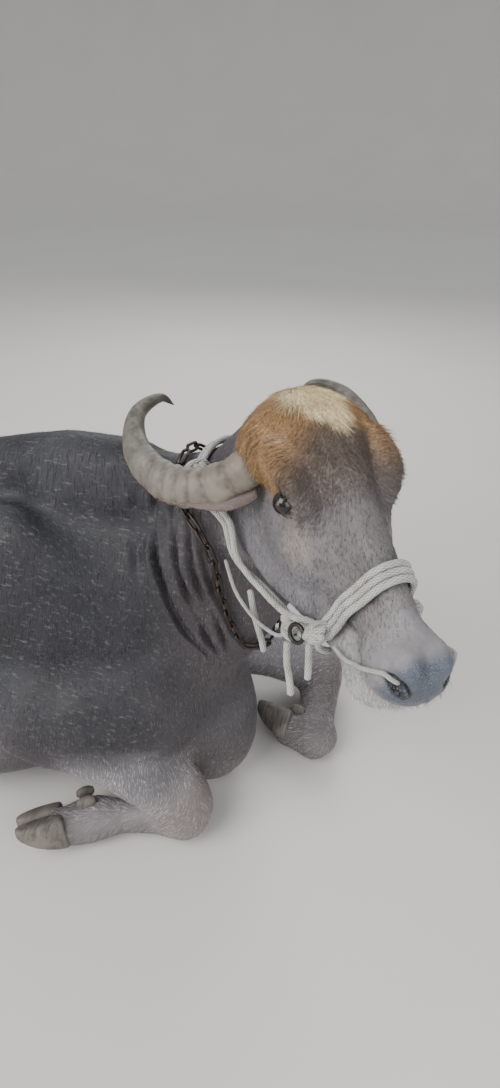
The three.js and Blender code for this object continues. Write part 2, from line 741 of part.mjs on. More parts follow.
// An almond opening between the lids, as a prism along the line of sight
function lidOpening(side) {
  const almond = new THREE.Shape();
  almond.moveTo(-20, 3 * side);
  almond.quadraticCurveTo(-6, -20 * side, 11, -10 * side);
  almond.quadraticCurveTo(19, -5 * side, 22, 6 * side);
  almond.quadraticCurveTo(2, 18 * side, -20, 3 * side);
  const prism = new THREE.ExtrudeGeometry(almond, { depth: 60, bevelEnabled: false, curveSegments: 5 });
  const sight = [0.3, 0.93 * side, 0.2];
  const across = vec([0.82, -0.34 * side, 0.46]);
  const z = vec(sight).normalize();
  const x = across.addScaledVector(z, -across.dot(z)).normalize();
  const y = z.clone().cross(x);
  const frame = new THREE.Matrix4().makeBasis(x, y, z).setPosition(EYE[0], EYE[1] * side, EYE[2]);
  return solidFrom(prism, frame);
}

// A comma-shaped nostril that runs back and in
function nostril(side) {
  const path = [
    [520, 42 * side, -76],
    [500, 36 * side, -64],
    [484, 28 * side, -60],
    [470, 22 * side, -62],
  ];
  const shape = (share, angle) => {
    const size = 1 - 0.55 * share;
    return [13 * size * Math.cos(angle), 17 * size * Math.sin(angle)];
  };
  return loft(sweep(path, 4, 8, shape));
}

// The line of the mouth: a thin wedge around the muzzle, deepest at the front
function mouthLine() {
  const halfThick = 2.2;
  const outline = new THREE.Shape();
  outline.moveTo(540, -100);
  outline.lineTo(372, -100);
  outline.lineTo(352, -44);
  outline.quadraticCurveTo(468, -58, 486, 0);
  outline.quadraticCurveTo(468, 58, 352, 44);
  outline.lineTo(372, 100);
  outline.lineTo(540, 100);
  outline.closePath();
  const options = { depth: 2 * halfThick, bevelEnabled: false, curveSegments: 6 };
  const slab = new THREE.ExtrudeGeometry(outline, options);
  slab.translate(0, 0, -halfThick);
  return solidFrom(slab, new THREE.Matrix4().setPosition(0, 0, MOUTH_HEIGHT));
}

// Flat tapered locks on the crown, rooted in the skin and swept down the forehead
function crownLocks() {
  const draw = drawer(11);
  const locks = [];
  for (let row = 0; row < 4; row += 1) {
    for (let column = -1.5; column <= 1.5; column += 1) {
      const x = 6 + 32 * row + draw(-6, 6);
      const y = (40 - 3 * row) * column + draw(-7, 7);
      const start = settle(headAndNeck, [x, y, 70], 0);
      const out = vec(slopeOf(headAndNeck, start)).normalize();
      const lie = vec([draw(0.7, 1), y / 60 + draw(-0.35, 0.35), -0.2]);
      lie.addScaledVector(out, -lie.dot(out)).normalize();
      const length = draw(48, 66);
      const path = [[0, -5], [0.35, 5], [0.7, 6.5], [1, 3]].map(([share, height]) => (
        settle(headAndNeck, vec(start).addScaledVector(lie, share * length).toArray(), height)
      ));
      const shape = (share, angle) => [
        (1 - share ** 2 * 0.93) * 19 * Math.cos(angle),
        (1 - share * 0.8) * 4 * Math.sin(angle),
      ];
      locks.push(loft(sweep(path, 3, 4, shape, out.toArray())));
    }
  }
  return locks;
}

// A thin rope from the knot on the cheek into the nostril
const noseRope = (side, grow) => rope([
  ...laidOn(headAndNeck, [
    [384, 74 * side, -156],
    [420, 66 * side, -138],
    [457, 66 * side, -92],
    [480, 54 * side, -64],
  ], THIN_ROPE_RADIUS + ROPE_CLEARANCE, 4),
  [502, 42 * side, -62],
  [496 + grow, 35 * side, -60],
], THIN_ROPE_RADIUS + grow, 6, 8);

const head = (() => {
  const surface = surfaceOf(headAndNeck, [-90, -170, -270], [540, 170, 80], HEAD_CELL);
  const blank = solidOf(surface).intersect(blockAhead(NAPE_POINT, NAPE_NORMAL));
  const lids = [-1, 1].map((side) => eyeball(side, EYE_RADIUS + LID_THICKNESS));
  const cutters = [-1, 1].flatMap((side) => [
    lidOpening(side),
    eyeball(side, EYE_RADIUS + GAP),
    nostril(side),
    horn(side, GAP),
    ear(side, 2 * GAP),
    noseRope(side, GAP),
  ]);
  return largest(without(join([blank, ...lids, ...crownLocks()]), [...cutters, mouthLine()]));
})();
add(headGroup, 'head', head, FACE_HIDE);
for (const [name, side] of [['right', -1], ['left', 1]]) {
  add(headGroup, `horn_${name}`, horn(side, 0), HORN);
  add(headGroup, `eye_${name}`, eyeball(side, EYE_RADIUS), EYE_DARK);
}

// Halter: every piece clears the next by a thin gap, the ring first, then the knots

function ring(grow) {
  const shape = new THREE.TorusGeometry(RING_RADIUS, RING_WIRE + grow, 5, 12);
  return solidFrom(shape, frameAt([336, -102, -184], [0.5, -0.2, -0.85], [0.3, -0.93, 0.1]));
}

function knot(centre, radii, grow) {
  const shape = new THREE.SphereGeometry(1, 8, 6);
  shape.scale(...radii.map((r) => r + grow));
  return solidFrom(shape, new THREE.Matrix4().setPosition(...centre));
}

const knots = (grow) => ({
  right: knot([357, -83, -154], [22, 18, 24], grow),
  left: knot([357, 83, -154], [22, 18, 24], grow),
  ring: knot([316, -92, -212], [21, 16, 19], grow),
  nape: knot(settle(headAndNeck, fromBody([250, -66, 930]), 21), [26, 19, 18], grow),
});

const noseband = (grow) => ropeBand(headAndNeck, [
  [358, -82, -152, 5],
  [352, -56, -108, 5],
  [358, -42, -50],
  [361, -18, -10],
  [361, 18, -10],
  [358, 42, -50],
  [352, 56, -108, 5],
  [358, 82, -152, 5],
], ROPE_RADIUS, 3, 12, grow);
const jawStrap = (grow) => ropeBand(headAndNeck, [
  [357, -80, -160, 4],
  [360, -46, -196, 10],
  [360, 0, -202, 11],
  [360, 46, -196, 10],
  [357, 80, -160, 4],
], ROPE_RADIUS, 1, 8, grow);

// Two ropes side by side, from the knot under each cheek, over the collar and across the nape
const CHEEK_GUIDES = [
  [342, 86, -168],
  [300, 84, -202, 5],
  [232, 84, -238, 12],
  [150, 103, -238, 11],
  [66, 118, -203, 8],
];
const NAPE_GUIDES = [
  [286, -100, 890],
  [262, -80, 906],
  [248, -44, 926],
  [256, 0, 938],
  [280, 45, 930],
  [334, 84, 900],
  [395, 96, 870],
];
const headstall = (grow) => ropeBand(headAndNeck, [
  ...CHEEK_GUIDES.map(mirror),
  ...NAPE_GUIDES.map(fromBody),
  ...CHEEK_GUIDES.slice().reverse(),
], ROPE_RADIUS, 2, 26, grow);

const ringHole = ring(GAP);
const room = knots(GAP);
const bandRoom = join([noseband(GAP), jawStrap(GAP), room.right, room.left]);
const solidKnots = knots(0);
const band = join([noseband(0), jawStrap(0), solidKnots.right, solidKnots.left]);
const nosebandSolid = largest(without(band, [ringHole]));
const headstallSolid = largest(without(
  join([headstall(0), solidKnots.nape]),
  [ringHole, bandRoom, room.ring],
));
const strapRoom = headstall(GAP);
for (const [name, side] of [['right', -1], ['left', 1]]) {
  add(headGroup, `ear_${name}`, largest(without(ear(side, 0), [horn(side, GAP), strapRoom])), SKIN_FOLD);
}
add(headGroup, 'noseband', nosebandSolid, COTTON);
add(headGroup, 'headstall', headstallSolid, COTTON);
add(headGroup, 'cheek_ring', ring(0), STEEL);
add(headGroup, 'ring_knot', largest(without(solidKnots.ring, [ringHole, bandRoom])), COTTON);
for (const [name, side] of [['right', -1], ['left', 1]]) {
  add(headGroup, `nose_rope_${name}`, largest(without(noseRope(side, 0), [ringHole, bandRoom])), COTTON);
}

// Free ends below the cheek
const FREE_ENDS = {
  knot_tail_long: [[324, -102, -230], [346, -106, -254], [368, -104, -280], [386, -102, -306]],
  knot_tail_short: [[344, -84, -184], [360, -84, -208], [378, -84, -240], [386, -84, -256]],
  strap_tail: [[182, -106, -286], [222, -106, -314], [262, -102, -338], [276, -100, -354]],
  slack_strand: [
    [120, -136, -268],
    [178, -130, -294],
    [236, -114, -298],
    [290, -98, -270],
    [308, -96, -230],
  ],
};
for (const [name, points] of Object.entries(FREE_ENDS)) {
  const radius = name === 'slack_strand' ? THIN_ROPE_RADIUS : ROPE_RADIUS;
  const cord = without(rope(points, radius, 6), [ringHole, bandRoom, room.ring]);
  add(headGroup, name, largest(cord), COTTON);
}

// Body nodes, parted along the outline of each limb

function cannon(path, grow) {
  const shape = (share, angle) => {
    const along = share * (path.length - 1);
    const from = Math.min(Math.floor(along), path.length - 2);
    const radius = THREE.MathUtils.lerp(path[from][3], path[from + 1][3], along - from) + grow;
    return [radius * Math.cos(angle), radius * Math.sin(angle)];
  };
  return loft(sweep(lengthened(path, grow), 2 * path.length - 1, 8, shape));
}

const bodyCutters = [];
for (const [name, leg] of Object.entries(legs)) {
  const foot = FEET[name.replace('foreleg', 'front').replace('hindleg', 'hind')];
  const outline = grown(blend(40, [leg.upper, leg.lower]), 12);
  const outer = surfaceOf(outline, leg.low, leg.high, CUT_CELL);
  bodyCutters.push(solidOf(thicker(outer, 3 * GAP)), solidOf(thicker(outer, GAP)));
  const skin = surfaceOf(flesh, leg.low, leg.high, leg.cell);
  const feet = footPieces(foot, 0);
  const sockets = footPieces(foot, GAP).map(([, solid]) => solid);
  const shaped = solidOf(skin).intersect(solidOf(outer)).intersect(ABOVE_FLOOR);
  const lowerLeg = join(leg.cannons.map((path) => cannon(path, 0))).intersect(ABOVE_FLOOR);
  const cannonRoom = join(leg.cannons.map((path) => cannon(path, GAP)));
  bodyCutters.push(cannonRoom, ...sockets);
  add(model, name, largest(without(shaped, [...sockets, cannonRoom])), HIDE);
  add(model, `${name}_cannon`, largest(without(lowerLeg, sockets)), HIDE);
  for (const [part, solid] of feet) {
    const claws = part.endsWith('dewclaw') ? solid : without(solid, sockets.slice(2));
    add(model, `${name}_${part}`, largest(claws.intersect(ABOVE_FLOOR)), HOOF);
  }
}

// Tail, laid round the rump and along the floor

const TAIL_PATH = [
  [TAIL_ROOT[0] + 62, 0, TAIL_ROOT[2] + 10],
  TAIL_ROOT,
  [-1312, 12, 470],
  [-1335, 45, 320],
  [-1325, 100, 160],
  [-1285, 190, 50],
  [-1205, 290, 22],
  [-1110, 350, 18],
];

function tailCore(grow) {
  const shape = (share, angle) => {
    const radius = THREE.MathUtils.lerp(44, 15, Math.min(share * 1.5, 1)) + grow;
    return [radius * Math.cos(angle), radius * Math.sin(angle)];
  };
  return loft(sweep(lengthened(TAIL_PATH, grow), 18, 8, shape, [0, 1, 0]));
}

const tailCurve = new THREE.CatmullRomCurve3(TAIL_PATH.map(vec), false, 'centripetal');
const tailPlace = (share) => tailCurve.getPointAt(share);
const tailForward = (share) => tailCurve.getTangentAt(share);

// Flat tapered locks of the switch, spread over the floor past the end of the tail
function switchLocks() {
  const draw = drawer(5);
  return Array.from({ length: SWITCH_LOCKS }, (_, i) => {
    const share = THREE.MathUtils.lerp(0.86, 0.99, i / (SWITCH_LOCKS - 1));
    const start = tailPlace(share);
    const forward = tailForward(share).setZ(0).normalize();
    const aside = new THREE.Vector3(0, 0, 1).cross(forward);
    const slant = draw(-0.42, 0.42);
    const length = draw(0.75, 1) * SWITCH_LENGTH;
    const bend = draw(-0.12, 0.12) * SWITCH_LENGTH;
    const height = draw(9, 24);
    const places = [[0, start.z, 0], [0.4, height + 7, 1], [0.75, height, 0.8], [1, 8, 0]];
    const path = places.map(([part, z, curl]) => (
      start.clone().addScaledVector(forward, part * length)
        .addScaledVector(aside, part * length * slant + curl * bend).setZ(z).toArray()
    ));
    const shape = (part, angle) => [
      (1 - part ** 2 * 0.92) * 18 * Math.cos(angle),
      (1 - part * 0.7) * 6 * Math.sin(angle),
    ];
    return loft(sweep(path, 4, 4, shape));
  });
}

const SWITCH_START = 0.8;
const switchBlock = (margin) => (
  blockAhead(tailPlace(SWITCH_START).toArray(), tailForward(SWITCH_START).toArray(), margin)
);
const wholeTail = tailCore(0).intersect(ABOVE_FLOOR);
bodyCutters.push(tailCore(GAP));
add(model, 'tail', largest(without(wholeTail, [switchBlock(GAP)])), HIDE);
const tassel = join([wholeTail.intersect(switchBlock(0)), ...switchLocks()]).intersect(ABOVE_FLOOR);
add(model, 'tail_switch', largest(tassel), HAIR);

// Torso and neck

const NECK_BASE = [105, 0, 640];
const NECK_BASE_NORMAL = [0.8, 0, 0.6];
const headBlock = solidFrom(
  new THREE.BoxGeometry(FAR, FAR, FAR).translate(FAR / 2 - GAP, 0, 0),
  HEAD_FRAME.clone().multiply(frameAt(NAPE_POINT, NAPE_NORMAL, [0, 0, 1])),
);
const neckSurface = surfaceOf(flesh, [-160, -330, 300], [640, 300, 1180], NECK_CELL);
const earRooms = [-1, 1].map((side) => ear(side, 3 * GAP).transform(HEAD_FRAME.elements));
const neckSolid = without(
  solidOf(neckSurface).intersect(blockAhead(NECK_BASE, NECK_BASE_NORMAL)),
  [headBlock, ...earRooms, ...bodyCutters],
);
add(model, 'neck', largest(neckSolid), HIDE);

const torsoSurface = surfaceOf(flesh, [-1400, -480, -110], [460, 480, 1010], TORSO_CELL);
const torso = without(
  solidOf(torsoSurface).intersect(ABOVE_FLOOR),
  [blockAhead(NECK_BASE, NECK_BASE_NORMAL, GAP), ...bodyCutters],
);
add(model, 'torso', largest(torso), HIDE);

// Chain collar: a closed row of links, each turned a quarter against the last

const COLLAR_GUIDES = [
  [200, 0, 912],
  [206, -60, 896],
  [224, -96, 866],
  [256, -112, 842],
  [285, -118, 798],
  [298, -110, 696],
  [314, -97, 617],
  [334, -80, 556],
  [372, 0, 530],
];
const collarPath = laidOn(
  flesh,
  [...COLLAR_GUIDES, ...COLLAR_GUIDES.slice(1, -1).reverse().map(mirror), COLLAR_GUIDES[0]],
  LINK_WIDTH / 2 + 2,
  2 * LINK_COUNT,
);

// Each link has a ring of four corners at either end, wide and flat or narrow and tall
const collarRings = collarPath.slice(0, -1).map((point, i) => {
  const next = vec(collarPath[i + 1]);
  const link = next.clone().sub(vec(point));
  const place = vec(point).addScaledVector(link, i % 2 === 0 ? -0.36 : 0.36);
  const outward = vec(slopeOf(flesh, point)).normalize();
  const aside = outward.clone().cross(link).normalize();
  const wide = Math.floor(i / 2) % 2 === 0;
  const [a, b] = wide ? [LINK_WIDTH / 2, LINK_WIRE] : [LINK_WIRE, LINK_WIDTH / 2];
  return [[a, b], [-a, b], [-a, -b], [a, -b]].map(([across, rise]) => (
    place.clone().addScaledVector(aside, across).addScaledVector(outward, rise).toArray()
  ));
});
add(model, 'chain_collar', largest(loft([...collarRings, collarRings[0]])), STEEL);

export default model;
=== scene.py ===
"""Life-size model of a water buffalo, lying on its brisket with its head turned to the right.

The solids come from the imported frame. This file gives them one skin, hair, horns with rings,
wet eyes, hooves, a halter of cotton rope, a chain collar and a plain studio.
Forms are worked out in millimetres, as in the solids, and turned into metres for each mesh.
"""

import math

import bmesh
import bpy
import numpy as np
from bpy.props import FloatProperty, FloatVectorProperty, IntProperty, PointerProperty
from bpy.types import Operator, Panel, PropertyGroup
from mathutils import Matrix, Vector


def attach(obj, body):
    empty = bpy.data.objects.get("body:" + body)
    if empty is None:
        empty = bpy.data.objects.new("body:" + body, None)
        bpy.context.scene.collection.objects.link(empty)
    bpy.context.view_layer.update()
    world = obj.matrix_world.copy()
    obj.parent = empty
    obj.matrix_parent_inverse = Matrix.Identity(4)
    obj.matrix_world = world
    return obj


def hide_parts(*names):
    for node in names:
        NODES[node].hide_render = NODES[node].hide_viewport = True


bl_info = {
    "name": "Lying water buffalo",
    "version": (1, 0, 0),
    "blender": (4, 5, 0),
    "location": "View3D > Sidebar > Buffalo",
    "description": "Dresses the solids of a lying water buffalo in skin, hair, horn and rope",
    "category": "Object",
}

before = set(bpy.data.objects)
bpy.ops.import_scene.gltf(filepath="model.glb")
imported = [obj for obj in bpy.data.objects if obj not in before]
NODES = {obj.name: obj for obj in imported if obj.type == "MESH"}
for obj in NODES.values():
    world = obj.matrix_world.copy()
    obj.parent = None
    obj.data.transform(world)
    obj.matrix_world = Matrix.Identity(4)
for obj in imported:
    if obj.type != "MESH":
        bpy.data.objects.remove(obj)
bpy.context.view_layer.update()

# Sizes shared with the solids, in millimetres and degrees
WITHERS_HEIGHT = 940
LOIN_HEIGHT = 848
CHEST_HALF_WIDTH = 225
BELLY_HALF_WIDTH = 385
RUMP_HALF_WIDTH = 265
TAIL_ROOT = (-1262, 0, 610)
POLL = (421, -25, 1081)
HEAD_AZIMUTH, HEAD_PITCH, HEAD_ROLL = -51, 21, -3
HEAD_LENGTH = 520
MUZZLE_HALF_WIDTH = 63
EYE = (182, 94, -45)
EYE_RADIUS = 21
EYEBALL_RADIUS = EYE_RADIUS - 1.4
CORNEA_BULGE = 0.035
MOUTH_HEIGHT = -128
EAR_LENGTH, EAR_WIDTH, EAR_THICKNESS = 195, 94, 7
ROPE_RADIUS = 6
THIN_ROPE_RADIUS = 3.5
RING_RADIUS, RING_WIRE = 15, 3.5
LINK_COUNT, LINK_WIDTH, LINK_WIRE = 34, 21, 3.2

MM = 0.001
LEAST_SLOPE = 0.04
SKIN_LOW, SKIN_HIGH = (-1420, -560, -60), (780, 560, 1180)

# The camera: its place and aim in metres and degrees, and its focal length in picture heights
CAMERA_PLACE = (0.669, -1.073)
CAMERA_HEADING = (-0.309, 0.951)
CAMERA_PITCH = 33.8
SENSOR_SIZE = 36
FOCAL_LENGTH = SENSOR_SIZE * 670 / 1088


# Vectors and frames

def turn_matrix(roll, pitch, yaw):
    turn = (
        Matrix.Rotation(math.radians(yaw), 3, "Z")
        @ Matrix.Rotation(math.radians(pitch), 3, "Y")
        @ Matrix.Rotation(math.radians(roll), 3, "X")
    )
    return np.array(turn)


HEAD_TURN = turn_matrix(HEAD_ROLL, HEAD_PITCH, HEAD_AZIMUTH)


def to_head(points):
    return (np.asarray(points, float) - POLL) @ HEAD_TURN


def from_head(points):
    return np.asarray(points, float) @ HEAD_TURN.T + POLL


def to_half_head(points):
    """Places in the head's frame, with the right side folded onto the left."""
    q = to_head(points)
    q[:, 1] = np.abs(q[:, 1])
    return q


def unit(vectors):
    vectors = np.asarray(vectors, float)
    return vectors / np.maximum(np.linalg.norm(vectors, axis=-1, keepdims=True), 1e-9)


def mirror(points):
    return [(p[0], -p[1], *p[2:]) for p in points]


def smoothstep(low, high, value):
    share = np.clip((value - low) / (high - low), 0, 1)
    return share * share * (3 - 2 * share)


def bell(value, width):
    return np.exp(-((value / width) ** 2))


def spline(points, shares):
    """Points on a centripetal curve through the given ones, as the solids use it."""
    points = np.asarray(points, float)
    last = len(points) - 1
    first = 2 * points[0] - points[1]
    end = 2 * points[-1] - points[-2]
    padded = np.vstack([first, points, end])
    out = []
    for share in np.atleast_1d(shares):
        along = share * last
        at = min(int(along), last - 1)
        t = along - at
        p0, p1, p2, p3 = padded[at:at + 4]
        d0, d1, d2 = (
            max(float(np.dot(b - a, b - a)) ** 0.25, 1e-4)
            for a, b in ((p0, p1), (p1, p2), (p2, p3))
        )
        s1 = ((p1 - p0) / d0 - (p2 - p0) / (d0 + d1) + (p2 - p1) / d1) * d1
        s2 = ((p2 - p1) / d1 - (p3 - p1) / (d1 + d2) + (p3 - p2) / d2) * d1
        out.append(
            p1 + s1 * t + (3 * (p2 - p1) - 2 * s1 - s2) * t ** 2
            + (2 * (p1 - p2) + s1 + s2) * t ** 3
        )
    return np.array(out)


def even_path(points, count):
    """The curve through some points, cut into pieces of equal length."""
    fine = spline(points, np.linspace(0, 1, 40 * len(points)))
    steps = np.concatenate([[0], np.cumsum(np.linalg.norm(np.diff(fine, axis=0), axis=1))])
    wanted = np.linspace(0, steps[-1], count + 1)
    return np.stack([np.interp(wanted, steps, fine[:, axis]) for axis in range(3)], axis=1)


def path_length(points):
    return float(np.linalg.norm(np.diff(points, axis=0), axis=1).sum())


# Fields: signed distances, negative inside

def ball(centre, radii, turn=(0, 0, 0)):
    centre, radii, pose = np.array(centre, float), np.array(radii, float), turn_matrix(*turn)

    def value(p):
        q = ((p - centre) @ pose) / radii
        scaled = np.sqrt((q * q).sum(1))
        q /= radii
        return scaled * (scaled - 1) / np.maximum(np.sqrt((q * q).sum(1)), 1e-9)

    return value


def tube(points, pieces=3):
    """A limb along a path whose points carry a radius as their fourth number."""
    points = np.asarray(points, float)
    if len(points) > 2:
        shares = np.linspace(0, 1, (len(points) - 1) * pieces + 1)
        radii = np.interp(shares * (len(points) - 1), range(len(points)), points[:, 3])
        points = np.column_stack([spline(points[:, :3], shares), radii])

    def value(p):
        best = np.full(len(p), np.inf)
        for a, b in zip(points, points[1:]):
            edge = b[:3] - a[:3]
            away = p - a[:3]
            t = np.clip(away @ edge / (edge @ edge), 0, 1)
            away -= t[:, None] * edge
            np.minimum(best, np.sqrt((away * away).sum(1)) - a[3] - t * (b[3] - a[3]), out=best)
        return best

    return value


def melt(a, b, width):
    near = np.maximum(width - np.abs(a - b), 0) / width
    return np.minimum(a, b) - near * near * width / 4


def carve(a, b, width):
    """Takes the inside of b out of a, with a rounded rim."""
    return -melt(-a, b, width)


def blend(width, fields):
    def value(p):
        out = fields[0](p)
        for field in fields[1:]:
            out = melt(out, field(p), width)
        return out

    return value


def both_sides(field):
    return lambda p: field(p * (1, 0, 1) + np.abs(p) * (0, 1, 0))


def melted(first, second, width=6):
    return lambda p: melt(first(p), second(p), width)


def slope_of(field, points, step=0.6):
    here = field(points)
    rise = [field(points + np.eye(3)[axis] * step) - here for axis in range(3)]
    return here, np.stack(rise, axis=1) / step


def settle(field, points, level=0.0, rounds=3, reach=1e9):
    """Moves points along the field's slope to where it has a wanted level."""
    points = np.array(points, float).reshape(-1, 3)
    start = points.copy()
    for _ in range(rounds):
        here, slope = slope_of(field, points)
        steep = np.maximum((slope * slope).sum(1), LEAST_SLOPE)
        points -= slope * ((here - level) / steep)[:, None]
    moved = points - start
    far = np.linalg.norm(moved, axis=1)
    return start + moved * np.minimum(1, reach / np.maximum(far, 1e-9))[:, None]


# The body's forms

TRUNK = blend(75, [
    ball((-20, 0, 402), (300, CHEST_HALF_WIDTH, 420)),
    ball((-430, 0, 418), (430, BELLY_HALF_WIDTH - 60, 430)),
    ball((-640, 0, 358), (420, BELLY_HALF_WIDTH, 384)),
    ball((-985, 0, 430), (315, RUMP_HALF_WIDTH, 365)),
    tube([
        (60, 0, WITHERS_HEIGHT - 60, 60),
        (-50, 0, WITHERS_HEIGHT - 64, 62),
        (-170, 0, WITHERS_HEIGHT - 86, 62),
        (-450, 0, LOIN_HEIGHT - 52, 58),
        (-800, 0, LOIN_HEIGHT - 68, 62),
        (-1010, 0, LOIN_HEIGHT - 112, 62),
        (-1170, 0, LOIN_HEIGHT - 190, 56),
    ]),
    both_sides(ball((-110, 146, 570), (150, 88, 262), (0, -12, 0))),
    both_sides(ball((-935, 205, 675), (95, 60, 56))),
    both_sides(tube([(-1090, 110, 640, 74), (-1236, 92, 545, 56)])),
    both_sides(ball((115, 150, 345), (118, 92, 140))),
    ball((176, 0, 222), (162, 122, 242)),
    ball((-500, 0, 190), (480, 350, 204)),
])


def at_head(x, y, z, radius):
    return (*from_head([x, y, z]), radius)


NECK = blend(60, [
    tube([(-60, 0, 822, 75), (150, 0, 846, 72), (300, 0, 876, 68), at_head(12, 0, -52, 52)]),
    tube([(90, 0, 620, 135), (250, 0, 755, 120), at_head(30, 0, -120, 96)]),
    tube([(170, 0, 420, 112), (290, 0, 590, 98), (370, -10, 740, 84), at_head(100, 0, -170, 66)]),
])

FORELEG_RIGHT = {
    "upper": blend(95, [
        tube([(115, -150, 400, 96), (-80, -208, 372, 104)]),
        tube([(-105, -214, 360, 112), (40, -208, 300, 100)]),
    ]),
    "lower": tube([(20, -208, 308, 98), (120, -200, 232, 88), (186, -192, 156, 78),
                   (212, -188, 92, 73)]),
    "cannons": [
        tube([(214, -194, 62, 56), (150, -208, 52, 45), (75, -232, 50, 42), (14, -262, 52, 50),
              (-4, -272, 52, 46)]),
        tube([(28, -252, 52, 44), (0, -268, 52, 50), (-50, -302, 52, 47)]),
    ],
}
FORELEG_LEFT = {
    "upper": blend(95, [
        tube([(140, 165, 400, 96), (40, 250, 240, 92)]),
        tube([(20, 268, 225, 92), (200, 312, 170, 82), (345, 350, 120, 66)]),
    ]),
    "lower": tube([(335, 350, 120, 66), (418, 358, 92, 72)]),
    "cannons": [
        tube([(428, 332, 80, 60), (438, 280, 66, 54), (450, 200, 58, 52), (458, 146, 59, 58),
              (460, 128, 59, 50)]),
        tube([(478, 138, 59, 42), (456, 140, 59, 57), (430, 142, 57, 54), (390, 146, 56, 51)]),
    ],
}


def hindleg(side):
    return {
        "upper": blend(70, [
            ball((-860, 215 * side, 400), (250, 130, 250), (12 * side, -30, 6 * side)),
            tube([(-930, 190 * side, 520, 150), (-700, 300 * side, 300, 125),
                  (-625, 335 * side, 240, 92)]),
            tube([(-640, 345 * side, 215, 92), (-820, 385 * side, 150, 74),
                  (-985, 400 * side, 105, 52)]),
        ]),
        "lower": tube([(-985, 400 * side, 100, 56), (-1036, 402 * side, 112, 46)]),
        "cannons": [tube([
            (-1006, 402 * side, 66, 46), (-960, 409 * side, 58, 48), (-860, 428 * side, 50, 43),
            (-750, 447 * side, 50, 45), (-712, 452 * side, 52, 50), (-650, 458 * side, 50, 46),
        ])],
    }


LEGS = [FORELEG_RIGHT, FORELEG_LEFT, hindleg(-1), hindleg(1)]

TAIL_PATH = [
    (TAIL_ROOT[0] + 62, 0, TAIL_ROOT[2] + 10), TAIL_ROOT, (-1312, 12, 470), (-1335, 45, 320),
    (-1325, 100, 160), (-1285, 190, 50), (-1205, 290, 22), (-1110, 350, 18),
]
TAIL_POINTS = even_path(TAIL_PATH, 18)
TAIL_RADII = 44 + (15 - 44) * np.minimum(np.linspace(0, 1, 19) * 1.5, 1)
TAIL = tube(np.column_stack([TAIL_POINTS, TAIL_RADII]), pieces=1)

HEAD_FORM = blend(24, [
    ball((95, 0, -50), (122, 98, 84)),
    ball((32, 0, -28), (46, 96, 50)),
    tube([(150, 0, -72, 78), (340, 0, -85, 39), (440, 0, -102, 43)]),
    tube([(190, 0, -128, 84), (350, 0, -128, 44)]),
    tube([(150, 0, -14, 42), (350, 0, -42, 28), (452, 0, -59, 24)]),
    ball((455, 0, -101), (HEAD_LENGTH - 455, MUZZLE_HALF_WIDTH, 55)),
    ball((446, 0, -168), (52, 70, 35)),
    ball((478, 0, -102), (34, 58, 28)),
    both_sides(ball((182, 70, -34), (44, 26, 31))),
    both_sides(ball((188, 60, -132), (98, 39, 96))),
    both_sides(ball((62, 88, -52), (50, 34, 44))),
    both_sides(tube([(140, 62, -204, 34), (262, 46, -192, 32), (413, 28, -162, 30)])),
    both_sides(tube([(100, 82, -226, 24), (150, 82, -222, 26), (208, 78, -206, 25),
                     (285, 58, -186, 19)])),
    both_sides(ball((478, 26, -62), (26, 19, 28))),
    both_sides(ball((140, 88, -8), (60, 24, 24))),
])


def flesh(p):
    """The whole body without its head, with the folded legs lying close against it."""
    out = blend(55, [TRUNK, NECK] + [leg["upper"] for leg in LEGS])(p)
    for leg in LEGS:
        limb = melt(leg["upper"](p), leg["lower"](p), 20)
        for cannon in leg["cannons"]:
            limb = melt(limb, cannon(p), 26)
        out = melt(out, limb, 6)
    return melt(out, TAIL(p), 24)


def head_and_neck(p):
    return melt(HEAD_FORM(to_head(p)), NECK(p), 30)


def body(p):
    return melt(flesh(p), HEAD_FORM(to_head(p)), 30)


# Finer forms of the face, in the head's frame with both sides folded onto the left

def eye_axes():
    sight = unit([0.32, 0.87, 0.37])
    across = np.array([0.85, -0.47, 0.2])
    across = unit(across - sight * (across @ sight))
    return across, np.cross(sight, across), sight


EYE_AXES = np.array(eye_axes())


def lid_outline(count=14):
    def bend(a, b, c):
        t = np.linspace(0, 1, count, endpoint=False)[:, None]
        return (1 - t) ** 2 * a + 2 * t * (1 - t) * b + t * t * c

    corners = [((-20, 0), (-8, -14), (8, -10)), ((8, -10), (18, -8), (25, 1)),
               ((25, 1), (6, 4), (-20, 0))]
    return np.vstack([bend(*map(np.array, three)) for three in corners])


LID_OUTLINE = lid_outline()


def eye_distance(q):
    return np.linalg.norm(q - EYE, axis=1)


def lip_height(x):
    """The mouth's line, a little higher towards the muzzle."""
    return MOUTH_HEIGHT + 5 * smoothstep(430, 500, x)


def lid_distance(q):
    """Signed distance to the almond between the lids, and each place along the eye's axes."""
    local = (q - EYE) @ EYE_AXES.T
    flat = local[:, :2]
    best = np.full(len(q), np.inf)
    inside = np.zeros(len(q), bool)
    for a, b in zip(LID_OUTLINE, np.roll(LID_OUTLINE, -1, axis=0)):
        edge, away = b - a, flat - a
        t = np.clip(away @ edge / (edge @ edge), 0, 1)
        best = np.minimum(best, np.hypot(*(away - t[:, None] * edge).T))
        crosses = (a[1] > flat[:, 1]) != (b[1] > flat[:, 1])
        rise = b[1] - a[1] if abs(b[1] - a[1]) > 1e-9 else 1e-9
        inside ^= crosses & (flat[:, 0] < (b[0] - a[0]) * (flat[:, 1] - a[1]) / rise + a[0])
    return np.where(inside, -best, best), local


